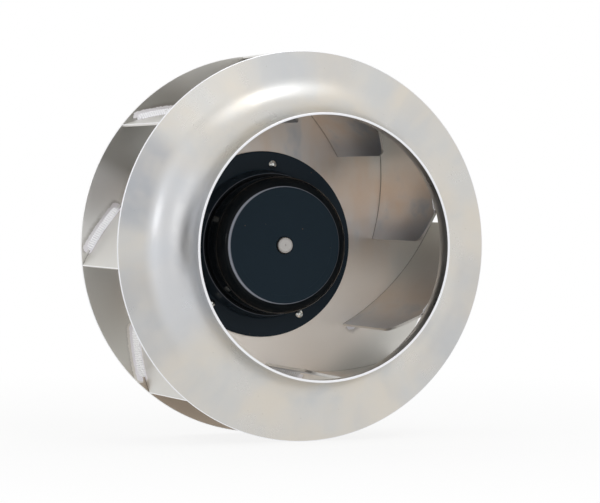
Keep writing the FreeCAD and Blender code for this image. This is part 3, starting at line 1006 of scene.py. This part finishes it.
@dataclass(frozen=True)
class BeadForm:
    """Section and ends of a weld bead, in shares of its leg; facets and steps of its mesh."""

    facets: int = 18
    centre: Spot = (0.36, 0.36, 0.0)
    spread: Spot = (0.76, 0.30, 1.0)
    steps_per_ripple: int = 8
    hollow: float = 0.96
    blunt: float = 1.02
    drift_length: float = 4 * MM

    def tree(self) -> bpy.types.NodeTree:
        """Makes the tree that lays a rippled bead along a path, round the spin axis.

        Returns:
            The geometry tree.
        """
        given, output = new_tree(
            "weld_beads", Count="Int", Start="Float", Material="Material", Leg="Float",
            Away="Vector", Pitch="Float", Depth="Float", Unevenness="Float", Seed="Float")
        tree = given["Geometry"].tree
        path = given["Geometry"].then(
            "GeometryNodeResampleCurve", mode="LENGTH",
            Length=given["Pitch"].then(Kind.DIVIDE, self.steps_per_ripple))
        along = add_node(tree, "GeometryNodeSplineParameter", out="Length")
        total = add_node(tree, "GeometryNodeSplineLength", out="Length")
        wave = along.then(Kind.DIVIDE, given["Pitch"]).then(Kind.FRACTION)
        crest = wave.then(Kind.MULTIPLY, wave).then(
            Kind.MULTIPLY_ADD, -self.hollow, 1.0).then(Kind.ROOT)
        smooth = add_node(tree, Kind.SUBTRACT, 1.0, given["Depth"])
        ripple = crest.then(Kind.MULTIPLY_ADD, given["Depth"], smooth)
        place = along.then(Kind.MULTIPLY_ADD, 1 / self.drift_length, given["Seed"])
        drift = add_node(tree, Kind.NOISE, noise_dimensions="1D", Scale=1.0, Detail=2.0, W=place)
        swing = drift.then(Kind.SUBTRACT, 0.5)
        uneven = swing.then(Kind.MULTIPLY_ADD, given["Unevenness"], 1.0)
        inset = along.then(Kind.MINIMUM, total.then(Kind.SUBTRACT, along))
        left = inset.then(Kind.DIVIDE, given["Leg"]).then(Kind.MINIMUM, 1.0).then(
            Kind.MULTIPLY_ADD, -1.0, 1.0)
        taper = left.then(Kind.MULTIPLY, left).then(
            Kind.MULTIPLY_ADD, -1.0, self.blunt).then(Kind.ROOT)
        size = ripple.then(Kind.MULTIPLY, uneven).then(Kind.MULTIPLY, taper).then(
            Kind.MULTIPLY, given["Leg"])
        upright = path.then(
            "GeometryNodeStoreNamedAttribute", data_type="FLOAT", domain="POINT", Name="crest",
            Value=crest).then(
            "GeometryNodeSetCurveRadius", Radius=size).then(
            "GeometryNodeSetCurveNormal", mode="FREE", Normal=given["Away"])
        circle = add_node(tree, "GeometryNodeCurvePrimitiveCircle", Resolution=self.facets,
                          Radius=1.0)
        section = circle.then("GeometryNodeTransform", Translation=self.centre,
                              Rotation=(0.0, 0.0, -math.pi / 4), Scale=self.spread)
        bead = upright.then("GeometryNodeCurveToMesh",
                            inputs={"Profile Curve": section, "Fill Caps": True})
        scale = bead.socket.node.inputs.get("Scale")
        if scale:
            tree.links.new(add_node(tree, "GeometryNodeInputRadius").socket, scale)
        ring_tail(bead, given, output)
        return tree


def grow(
    base: bpy.types.Object, tree: bpy.types.NodeTree, values: Mapping[str, Any], name: str
) -> bpy.types.Object:
    """Runs a tree on a base object and keeps the result as a plain mesh.

    Args:
        base: Object that carries the modifier; it is removed.
        tree: Geometry tree.
        values: Input names to values.
        name: Name of the finished piece.

    Returns:
        A plain mesh object without modifiers.
    """
    modifier = base.modifiers.new("grow", "NODES")
    modifier.node_group = tree
    for item in tree.interface.items_tree:
        if getattr(item, "in_out", "") == "INPUT" and item.name in values:
            modifier[item.identifier] = values[item.name]
    graph = bpy.context.evaluated_depsgraph_get()
    mesh = bpy.data.meshes.new_from_object(
        base.evaluated_get(graph), preserve_all_data_layers=True, depsgraph=graph)
    bpy.data.objects.remove(base)
    mesh.name = name
    for polygon in mesh.polygons:
        polygon.use_smooth = True
    return add_piece(name, mesh)


# The wheel


@dataclass(frozen=True)
class WheelShape:
    """Sizes that the wheel's pieces share; those of a CAD box are read from the frame."""

    radius: float
    lip: float
    rim: float
    plate_front: float
    plate_back: float
    eye_radius: float = 134.8 * MM
    lean: float = math.radians(12.0)
    bend: float = 50.0 * MM
    sheet: float = 2.5 * MM
    edge: float = 0.45 * MM

    @classmethod
    def from_frame(cls) -> "WheelShape":
        """Reads the wheel's outer sizes from the CAD boxes.

        Returns:
            The sizes that every piece of the wheel is drawn from.
        """
        low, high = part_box("shroud")
        plate_low, plate_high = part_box("backplate")
        thick = cls.sheet / math.cos(cls.lean)
        return cls(high[2], low[1], high[1] - thick, plate_low[1], plate_high[1])

    def front_cone(self, radius: float) -> float:
        """Station of the shroud's front face on the straight cone."""
        return self.rim - (self.radius - radius) * math.tan(self.lean)

    def rear_cone(self, radius: float) -> float:
        """Station of the shroud's rear face on the straight cone."""
        return self.front_cone(radius) + self.sheet / math.cos(self.lean)

    def rear_face(self, radius: float) -> float:
        """Station of the shroud's rear face, bend included.

        Args:
            radius: Distance from the spin axis.

        Returns:
            The Y station of the face that the blades meet.
        """
        bend_radius = self.eye_radius + self.bend
        joint = bend_radius - self.bend * math.sin(self.lean)
        if radius >= joint:
            return self.rear_cone(radius)
        top = self.rear_cone(joint) - self.bend * math.cos(self.lean)
        inward = max(min((bend_radius - radius) / self.bend, 1.0), 0.0)
        return top + self.bend * math.sqrt(1.0 - inward * inward)


@dataclass(frozen=True)
class BladeShape:
    """The curve that every blade follows, for the blade whose lead is at angle zero."""

    wheel: WheelShape
    count: int = 8
    start: float = math.radians(1.85)
    lead_radius: float = 129.3 * MM
    tip_inset: float = 1.2 * MM
    wrap: float = math.radians(49.4)
    sagitta: float = 12.2 * MM
    corner_drop: float = 0.5 * MM
    corner_bend: float = 26.0 * MM
    slant: float = math.radians(41.0)

    def ends(self) -> tuple[Vector, Vector]:
        """Finds where the centre line begins and ends.

        Returns:
            Lead and tip, as (x, z).
        """
        tip = self.wheel.radius - self.tip_inset
        return (Vector((self.lead_radius, 0.0)),
                Vector((tip * math.cos(self.wrap), tip * math.sin(self.wrap))))

    def circle(self) -> tuple[Vector, float]:
        """Finds the circle that the blade is bent to.

        Returns:
            Centre, as (x, z), and radius.
        """
        lead, tip = self.ends()
        chord = tip - lead
        outward = Vector((chord.y, -chord.x)).normalized()
        if outward.dot(lead + tip) < 0:
            outward = -outward
        radius = chord.length ** 2 / (8 * self.sagitta) + self.sagitta / 2
        return lead + chord / 2 + outward * (self.sagitta - radius), radius

    def length(self) -> float:
        """Measures the centre line.

        Returns:
            Its length in metres.
        """
        centre, radius = self.circle()
        lead, tip = self.ends()
        return radius * (lead - centre).angle(tip - centre)

    def spot(self, along: float, offset: float) -> Vector:
        """Point at a distance along the blade and an offset outward from its centre line.

        Args:
            along: Distance from the lead along the centre line.
            offset: Distance outward.

        Returns:
            The place as (x, z).
        """
        centre, radius = self.circle()
        lead, tip = self.ends()
        arm = (lead - centre).normalized()
        side = tip - centre
        side = (side - arm * side.dot(arm)).normalized()
        turn = along / radius
        return centre + (arm * math.cos(turn) + side * math.sin(turn)) * (radius + offset)

    def top(self, along: float, offset: float) -> float:
        """Station of the blade's inlet edge at a place on one of its faces.

        Args:
            along: Distance from the lead.
            offset: Which face, as an outward offset.

        Returns:
            The Y station where the sheet ends.
        """
        _, radius = self.circle()
        joint = self.wheel.rear_face(self.spot(along, offset).length)
        across = (radius + offset) * math.sin(along / radius)
        edge = self.wheel.rim - self.corner_drop
        tangent = self.corner_bend * math.tan((math.pi / 2 - self.slant) / 2)
        if across < tangent * math.cos(self.slant):
            gap = self.corner_bend - across
            edge += tangent - math.sqrt(max(self.corner_bend ** 2 - gap * gap, 0.0))
        else:
            edge -= across * math.tan(self.slant)
        return max(joint, edge)


@dataclass(frozen=True)
class WeldRun:
    """One weld per blade: where it starts, how long it is and what it joins."""

    name: str
    begin: float
    length: float
    leg: float
    on_shroud: bool = False

    def past(self, along: float) -> float:
        """Distance along the blade from a place to the weld, counted twice at its ends."""
        return 2 * max(self.begin - along, along - self.begin - self.length, 0.0)


@dataclass
class Wheel:
    """Shroud, backplate, blades and welds."""

    finishes: Finishes
    shape: WheelShape
    blade: BladeShape
    seam_width: float = 1.5 * MM
    far: float = 50 * MM
    shroud_bead_reach: float = 4 * MM
    plate_clearance: float = 1.5 * MM
    plate_rows: int = 56
    plate_steps: int = 480
    shroud_steps: int = 288
    blade_rows: int = 26
    row_crowding: float = 1.5
    lead_length: float = 28 * MM
    lead_columns: int = 22
    columns: int = 46
    path_steps: int = 40
    ripple_pitch: float = 2.4 * MM
    ripple_depth: float = 0.40
    unevenness: float = 0.10
    seed_step: float = 7.3

    def __post_init__(self) -> None:
        """Places the welds along the blade."""
        length = self.blade.length()
        self.runs = (
            WeldRun("outer_plate_welds", length - 72 * MM, 54 * MM, 6.0 * MM),
            WeldRun("inner_plate_welds", 6 * MM, 35 * MM, 6.0 * MM),
            WeldRun("shroud_welds", 33.5 * MM, 30 * MM, 2.9 * MM, on_shroud=True),
        )

    def weld_gap(self, x: float, y: float, z: float) -> float:
        """Distance on the backplate's front face from a place to the nearest weld.

        Args:
            x: Place across.
            y: Station, which tells the front face from the rest.
            z: Place upwards.

        Returns:
            The distance in metres, at most five centimetres.
        """
        nearest = self.far
        if y >= self.shape.plate_front + self.shape.edge:
            return nearest
        centre, radius = self.blade.circle()
        lead = self.blade.ends()[0] - centre
        for number in range(self.blade.count):
            turn = -(self.blade.start + number * (TURN / self.blade.count))
            arm = Vector((x * math.cos(turn) - z * math.sin(turn),
                          x * math.sin(turn) + z * math.cos(turn))) - centre
            out = arm.length - radius - self.shape.sheet / 2
            if self.seam_width <= out <= nearest:
                along = radius * math.atan2(lead.x * arm.y - lead.y * arm.x, lead.dot(arm))
                nearest = min(nearest, *[math.hypot(run.past(along), out)
                                         for run in self.runs if not run.on_shroud])
        return nearest

    def blade_weld_gap(self, along: float, height: float, drop: float, offset: float) -> float:
        """Distance from a place on a blade's face to the nearest weld.

        Args:
            along: Distance from the lead.
            height: Distance from the backplate.
            drop: Distance below the blade's inlet edge.
            offset: Which face; plate welds are on the outer one, shroud welds on the inner.

        Returns:
            The distance in metres.
        """
        nearest = self.far
        for run in self.runs:
            if run.on_shroud != (offset > 0):
                away = abs(drop) + self.shroud_bead_reach if run.on_shroud else height
                nearest = min(nearest, math.hypot(run.past(along), away))
        return nearest

    def build_shroud(self) -> None:
        """Spins the inlet shroud from its rounded section."""
        shape = self.shape
        outer_eye = shape.eye_radius + shape.sheet
        section = rounded([
            (shape.eye_radius, shape.lip, shape.edge),
            (shape.eye_radius, shape.rear_cone(shape.eye_radius), shape.bend),
            (shape.radius, shape.rear_cone(shape.radius), shape.edge),
            (shape.radius, shape.rim, shape.edge),
            (outer_eye, shape.front_cone(outer_eye), shape.bend - shape.sheet),
            (outer_eye, shape.lip, shape.edge),
        ], Corner.LARGE)
        piece = turned_mesh("spun_shroud", section, self.shroud_steps)
        paint(piece, self.finishes[Skin.SHROUD])
        hand_over(piece, "shroud")

    def build_backplate(self) -> None:
        """Turns the backplate with rows fine enough to carry the weld distance."""
        shape = self.shape
        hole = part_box("rotor_can")[1][0] + self.plate_clearance
        rise = (shape.radius - shape.edge - hole) / self.plate_rows
        rings: list[tuple[Radius, float]] = [
            (hole + rise * row, shape.plate_front) for row in range(self.plate_rows + 1)]
        rings += [(shape.radius, shape.plate_front + shape.edge),
                  (shape.radius, shape.plate_back - shape.edge)]
        rings += [(shape.radius - shape.edge - row * rise, shape.plate_back)
                  for row in range(0, self.plate_rows + 1, 8)]
        piece = turned_mesh("welded_backplate", rings, self.plate_steps)
        keep_edges(piece)
        mesh = piece.data
        layer = mesh.uv_layers.new(name="sheet")
        for corner in mesh.loops:
            layer.data[corner.index].uv = mesh.vertices[corner.vertex_index].co.xz
        weld = mesh.attributes.new("weld_distance", "FLOAT", "POINT")
        for vertex in mesh.vertices:
            weld.data[vertex.index].value = self.weld_gap(*vertex.co)
        paint(piece, self.finishes[Skin.SHEET])
        hand_over(piece, "backplate")

    def blade_stations(self) -> list[float]:
        """Spaces the rows of a blade's mesh, close together at the lead.

        Returns:
            Distances along the blade, from the lead to the tip.
        """
        rest = self.blade.length() - self.lead_length
        return ([self.lead_length * (step / self.lead_columns) ** 2
                 for step in range(self.lead_columns)]
                + [self.lead_length + rest * step / self.columns
                   for step in range(self.columns + 1)])

    def build_blade(self, number: int) -> None:
        """Makes one curved blade as a closed sheet with softened edges.

        Args:
            number: Blade number, from one.
        """
        blade, front, rows = self.blade, self.shape.plate_front, self.blade_rows
        work = bmesh.new()
        map_layer = work.loops.layers.uv.new("sheet")
        weld_layer = work.verts.layers.float.new("weld_distance")
        root_painted_shade_layer = work.verts.layers.float.new("root_painted_shade")
        cut_layer = work.faces.layers.float.new("cut")
        flat: dict[bmesh.types.BMVert, Span] = {}
        sides: list[list[list[bmesh.types.BMVert]]] = []
        for offset in (self.shape.sheet / 2, -self.shape.sheet / 2):
            grid = []
            for along in self.blade_stations():
                place = blade.spot(along, offset)
                top = blade.top(along, offset)
                line = []
                for row in range(rows + 1):
                    station = front + (top - front) * (row / rows) ** self.row_crowding
                    vert = work.verts.new((place.x, station, place.y))
                    flat[vert] = (along, front - station)
                    vert[weld_layer] = self.blade_weld_gap(
                        along, front - station, top - station, offset)
                    # Painted shade on the two lowest rows of the blade.
                    vert[root_painted_shade_layer] = max(0.0, 1.0 - 0.5 * row)
                    line.append(vert)
                grid.append(line)
            sides.append(grid)
        outer, inner = sides
        last = len(outer) - 1
        for col in range(last):
            for row in range(rows):
                for grid in sides:
                    work.faces.new((grid[col][row], grid[col + 1][row],
                                    grid[col + 1][row + 1], grid[col][row + 1]))
        rims = [((col, row), (col + 1, row)) for col in range(last) for row in (0, rows)]
        rims += [((col, row), (col, row + 1)) for row in range(rows) for col in (0, last)]
        for (col, row), (next_col, next_row) in rims:
            edge = work.faces.new((outer[col][row], outer[next_col][next_row],
                                   inner[next_col][next_row], inner[col][row]))
            edge[cut_layer] = 1.0
        bmesh.ops.recalc_face_normals(work, faces=work.faces)
        for face in work.faces:
            for corner in face.loops:
                corner[map_layer].uv = flat[corner.vert]
        turn = blade.start + (number - 1) * TURN / blade.count
        work.transform(Matrix.Rotation(-turn, 4, "Y"))
        piece = solid(f"curved_blade_{number}", work)
        keep_edges(piece)
        paint(piece, self.finishes[Skin.SHEET])
        hand_over(piece, f"blade_{number}")

    def build_welds(self) -> None:
        """Lays the beads of every run with the weld tree."""
        tree = BeadForm().tree()
        for seed, run in enumerate(self.runs):
            out = -self.shape.sheet / 2 if run.on_shroud else self.shape.sheet / 2
            curve = bpy.data.curves.new(run.name, "CURVE")
            curve.dimensions = "3D"
            spline = curve.splines.new("POLY")
            spline.points.add(self.path_steps)
            for step, point in enumerate(spline.points):
                along = run.begin + run.length * step / self.path_steps
                x, z = self.blade.spot(along, out)
                station = self.blade.top(along, out) if run.on_shroud else self.shape.plate_front
                point.co = (x, station, z, 1.0)
            piece = grow(add_piece(run.name, curve), tree, {
                "Count": self.blade.count,
                "Start": self.blade.start,
                "Material": self.finishes[Skin.WELD],
                "Leg": run.leg,
                "Away": (0.0, 1.0 if run.on_shroud else -1.0, 0.0),
                "Pitch": self.ripple_pitch,
                "Depth": self.ripple_depth,
                "Unevenness": self.unevenness,
                "Seed": self.seed_step * seed,
            }, f"rippled_{run.name}")
            hand_over(piece, run.name)

    def build(self) -> None:
        """Builds the whole wheel."""
        self.build_shroud()
        self.build_backplate()
        for number in range(1, self.blade.count + 1):
            self.build_blade(number)
        self.build_welds()


# The motor


@dataclass
class Motor:
    """Rotor can, hub flange, shaft end and screws, with the dressed inner parts."""

    finishes: Finishes
    steps: int = 240
    shoulder: float = 12.0 * MM
    slope_degrees: float = 21.0
    slope_width: float = 1.6 * MM
    shoulder_round: float = 1.15
    crease: float = 0.5 * MM
    crease_drop: float = 1.6 * MM
    can_wall: float = 3.5 * MM
    can_floor: float = 5.0 * MM
    shaft_gap: float = 0.05 * MM
    shaft_chamfer: float = 0.8 * MM
    shaft_steps: int = 96
    collar_height: float = 23.5 * MM
    collar_foot: float = 79.5 * MM
    collar_top: float = 76.3 * MM
    screw_count: int = 5
    screw_start_degrees: float = 82.7
    screw_pitch_radius: float = 86.0 * MM
    screw_steps: int = 48
    head_radius: float = 4.6 * MM
    head_height: float = 2.8 * MM
    head_skirt: float = 0.5 * MM
    key: float = 3.0 * MM
    nut_flats: float = 8.0 * MM
    nut_chamfer: float = 0.4 * MM
    shank_radius: float = 2.5 * MM
    fine_edge: float = 25.0

    def build_hub_flange(self) -> None:
        """Turns the flange and its raised collar."""
        low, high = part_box("hub_flange")
        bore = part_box("rotor_can")[1][0]
        face = low[1] + self.collar_height
        section = rounded([
            (bore, high[1], 0),
            (high[0], high[1], 0.3 * MM),
            (high[0], face, 1.2 * MM),
            (self.collar_foot, face, 1.6 * MM),
            (self.collar_top, low[1], 1.6 * MM),
            (bore, low[1], 0.3 * MM),
        ])
        piece = turned_mesh("enamelled_hub_flange", section, self.steps)
        keep_edges(piece)
        # Enamel with a painted reflection on the flange.
        paint(piece, self.finishes[Skin.FLANGE_ENAMEL_PAINTED_REFLECTION])
        hand_over(piece, "hub_flange")

    def build_can(self) -> None:
        """Turns the deep can with its rounded shoulder and flat face."""
        low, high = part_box("rotor_can")
        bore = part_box("shaft")[1][0] + self.shaft_gap
        radius, face = high[0], low[1]
        inner = radius - self.crease
        fall = self.shoulder * math.tan(math.radians(self.slope_degrees))
        crease = face + self.shoulder + self.crease_drop
        section = rounded([
            (bore, face + 2 * MM, 0),
            (bore + 0.7 * MM, face, 0.3 * MM),
            (inner - self.shoulder, face, 1.0 * MM),
            (inner, face + fall, (self.shoulder - self.slope_width) * self.shoulder_round),
            (inner, crease, 0),
            (radius, crease, 0.4 * MM),
            (radius, high[1], 0.6 * MM),
            (radius - self.can_wall, high[1], 0.4 * MM),
            (radius - self.can_wall, face + self.can_floor, 0),
            (bore, face + self.can_floor, 0),
        ], Corner.LARGE)
        piece = turned_mesh("enamelled_rotor_can", section, self.steps)
        keep_edges(piece)
        paint(piece, self.finishes[Skin.ENAMEL])
        hand_over(piece, "rotor_can")

    def build_shaft(self) -> None:
        """Turns the shaft with a chamfer and a centre drilling in its end."""
        low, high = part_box("shaft")
        radius, end = high[0], low[1]
        piece = turned_mesh("ground_shaft", [
            (0.0, end + 1.2 * MM),
            (0.9 * MM, end),
            (radius - 2.0 * MM, end),
            (radius - 1.8 * MM, end + 0.15 * MM),
            (radius - 1.6 * MM, end),
            (radius - self.shaft_chamfer, end),
            (radius, end + self.shaft_chamfer),
            (radius, high[1] - self.shaft_chamfer),
            (radius - self.shaft_chamfer, high[1]),
            (0.0, high[1]),
        ], self.shaft_steps, loop=False)
        keep_edges(piece, self.fine_edge)
        paint(piece, self.finishes[Skin.GROUND])
        hand_over(piece, "shaft")

    def build_screws(self) -> None:
        """Makes one screw and one nut, and repeats each round the flange."""
        tree = ring_tree()
        (_, top, _), (_, tip, _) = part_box("hub_screws")
        seat = top + self.head_height
        dome = [(self.head_radius * math.cos(turn), seat - self.head_skirt
                 - (self.head_height - self.head_skirt) * math.sin(turn))
                for turn in [math.radians(9 * step) for step in range(7)]]
        screw: list[tuple[Radius, float]] = [
            (0.0, top + 1.7 * MM),
            (hexagon(self.key - 0.1 * MM), top + 1.5 * MM),
            (hexagon(self.key), top + 0.25 * MM),
            (hexagon(self.key + 0.3 * MM), top),
            *[(radius, station) for radius, station in reversed(dome) if station > top],
            (self.head_radius, seat),
            (self.shank_radius, seat),
            (self.shank_radius, tip - 0.6 * MM),
            (self.shank_radius - 0.5 * MM, tip),
            (0.0, tip),
        ]
        low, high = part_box("hub_nuts")
        corners = hexagon(self.nut_flats, self.nut_flats / math.sqrt(3) - 0.35 * MM)
        nut: list[tuple[Radius, float]] = [
            (self.shank_radius, low[1]),
            (corners, low[1]),
            (hexagon(self.nut_flats), low[1] + self.nut_chamfer),
            (hexagon(self.nut_flats), high[1] - self.nut_chamfer),
            (corners, high[1]),
            (self.shank_radius + self.nut_chamfer, high[1]),
            (self.shank_radius, high[1] - self.nut_chamfer),
        ]
        for rings, loop, name, node in ((screw, False, "button_screws", "hub_screws"),
                                        (nut, True, "hexagon_nuts", "hub_nuts")):
            form = turned_mesh(f"{name}_form", rings, self.screw_steps, loop,
                               (self.screw_pitch_radius, 0.0))
            piece = grow(form, tree, {
                "Count": self.screw_count,
                "Start": math.radians(self.screw_start_degrees),
                "Material": self.finishes[Skin.ZINC],
            }, name)
            keep_edges(piece, self.fine_edge)
            hand_over(piece, node)

    def dress_inner_parts(self) -> None:
        """Gives the CAD nodes that keep their shape their finishes."""
        dressed = {
            Skin.LAMINATIONS: ("rotor_core", "stator_core"),
            Skin.CAST: ("rotor_cage", "stator_flange"),
            Skin.COPPER: ("windings",),
            Skin.INSULATION: ("end_insulators",),
            Skin.RUBBER: ("cable_grommet",),
            Skin.TURNED: ("bearing_tube",),
            Skin.SPRING: ("wave_spring", "shaft_ring", "bore_ring"),
            Skin.GROUND: ("front_inner_race", "rear_inner_race",
                          "front_outer_race", "rear_outer_race"),
        }
        for skin, names in dressed.items():
            for name in names:
                paint(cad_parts[name], self.finishes[skin])
                LOG.info("%s dressed in %s", name, skin.value.name)

    def build(self) -> None:
        """Builds the whole motor."""
        self.build_hub_flange()
        self.build_can()
        self.build_shaft()
        self.build_screws()
        self.dress_inner_parts()


# The studio


@dataclass(frozen=True)
class Lamp:
    """A soft rectangular lamp that looks at the wheel."""

    name: str
    place: Spot
    width: float
    height: float
    power: float


@dataclass(frozen=True)
class DarkSide:
    """A dim patch of the surroundings that shiny faces mirror."""

    aim: Spot
    reach: Span
    level: float


@dataclass
class Studio:
    """Pale floor, even surroundings, soft lamps and the camera of the photograph."""

    floor_colour: str = "#f4f4f3"
    floor_reach: float = 1.1
    floor_sides: int = 96
    floor_roughness: float = 0.8
    floor_drop: float = 0.2 * MM
    floor_fade: Span = (0.2, 0.95 * 1.1)
    near_white: float = 0.85
    camera_place: Spot = (-1.0975, -3.001, 0.0665)
    camera_aim: Spot = (0.3595, 0.9329, -0.0236)
    focal_pixels: float = 2942.8
    photo_width: int = 600
    sensor: float = 36.0
    ambient: float = 0.8
    lamp_aim: Spot = (0.0, -0.12, 0.0)
    lamps: tuple[Lamp, ...] = (
        Lamp("front_lamp", (-1.6, -2.9, 0.3), 0.25, 0.4, 3.0),
        Lamp("upper_lamp", (0.45, -2.9, 0.9), 0.8, 0.5, 0.9),
        Lamp("left_lamp", (-2.6, -0.4, 0.6), 1.3, 2.0, 4.5),
        Lamp("top_lamp", (0.3, -1.6, 2.2), 1.2, 1.0, 9.0),
    )
    dark_sides: tuple[DarkSide, ...] = (
        DarkSide((-0.1, -0.993, -0.06), (0.970, 0.995), 0.72),
        DarkSide((-0.93, 0.36, 0.0), (0.84, 0.985), 0.1),
    )

    def build_world(self) -> None:
        """Even light all round, with white behind for the camera and in reflections."""
        world = bpy.data.worlds.new("studio")
        bpy.context.scene.world = world
        world.use_nodes = True
        tree = world.node_tree
        tree.nodes.clear()
        camera, glossy, through = (
            add_node(tree, "ShaderNodeLightPath", out=f"Is {ray} Ray")
            for ray in ("Camera", "Glossy", "Transmission"))
        towards = add_node(tree, "ShaderNodeTexCoord", out="Generated")
        level: Any = 1.0
        for side in self.dark_sides:
            facing = towards.then(Kind.TOWARDS, side.aim, out="Value")
            level = facing.then(Kind.EASE, *side.reach, 1.0, side.level).then(
                Kind.MULTIPLY, level)
        light, white = (
            add_node(tree, "ShaderNodeBackground", linear("#ffffff"), strength)
            for strength in (self.ambient, camera.then(Kind.MAXIMUM, level)))
        seen = camera.then(Kind.MAXIMUM, glossy).then(Kind.MAXIMUM, through)
        both = seen.then("ShaderNodeMixShader", light, white)
        tree.links.new(both.socket, tree.nodes.new("ShaderNodeOutputWorld").inputs[0])

    def build_floor(self) -> None:
        """Lays a pale floor under the rims that fades to white for the camera."""
        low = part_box("shroud")[0][2]
        bpy.ops.mesh.primitive_circle_add(
            vertices=self.floor_sides, radius=self.floor_reach, fill_type="NGON",
            location=(0, 0, low - self.floor_drop))
        floor = bpy.context.object
        floor.name = "studio_floor"
        material = Finish("pale_floor", self.floor_colour, self.floor_roughness, 0.0).build()
        tree = material.node_tree
        camera, glossy = (add_node(tree, "ShaderNodeLightPath", out=f"Is {ray} Ray")
                          for ray in ("Camera", "Glossy"))
        away = add_node(tree, "ShaderNodeTexCoord", out="Object").then(
            Kind.LENGTH, out="Value")
        fade = away.then(Kind.EASE, *self.floor_fade, self.near_white, 1.0)
        shader = Field(tree, tree.nodes["Principled BSDF"].outputs[0])
        glow = add_node(tree, "ShaderNodeEmission", linear("#ffffff"), 1.0)
        white = camera.then(Kind.MAXIMUM, glossy).then(Kind.MULTIPLY, fade)
        both = white.then("ShaderNodeMixShader", shader, glow)
        tree.links.new(both.socket, tree.nodes["Material Output"].inputs["Surface"])
        paint(floor, material)

    def build_lamps(self) -> None:
        """Hangs the lamps and points them at the middle of the wheel."""
        for lamp in self.lamps:
            data = bpy.data.lights.new(lamp.name, "AREA")
            data.shape = "RECTANGLE"
            data.size = lamp.width
            data.size_y = lamp.height
            data.energy = lamp.power
            aim = Vector(self.lamp_aim) - Vector(lamp.place)
            light = add_piece(lamp.name, data)
            light.location = lamp.place
            light.rotation_euler = aim.to_track_quat("-Z", "Y").to_euler()

    def build_camera(self) -> None:
        """Sets the camera where the photograph was taken from."""
        data = bpy.data.cameras.new("photo_camera")
        data.sensor_fit = "HORIZONTAL"
        data.sensor_width = self.sensor
        data.lens = self.focal_pixels / self.photo_width * self.sensor
        camera = add_piece("photo_camera", data)
        camera.location = self.camera_place
        camera.rotation_euler = Vector(self.camera_aim).to_track_quat("-Z", "Y").to_euler()
        bpy.context.scene.camera = camera

    def build(self) -> None:
        """Sets up the whole studio."""
        bpy.context.scene.view_settings.view_transform = "Standard"
        self.build_world()
        self.build_floor()
        self.build_lamps()
        self.build_camera()


def main() -> None:
    """Builds the fan piece by piece and then the studio round it."""
    finishes = {skin: skin.value.build() for skin in Skin}
    shape = WheelShape.from_frame()
    Wheel(finishes, shape, BladeShape(shape)).build()
    Motor(finishes).build()
    Studio().build()


if __name__ == "__main__":
    main()
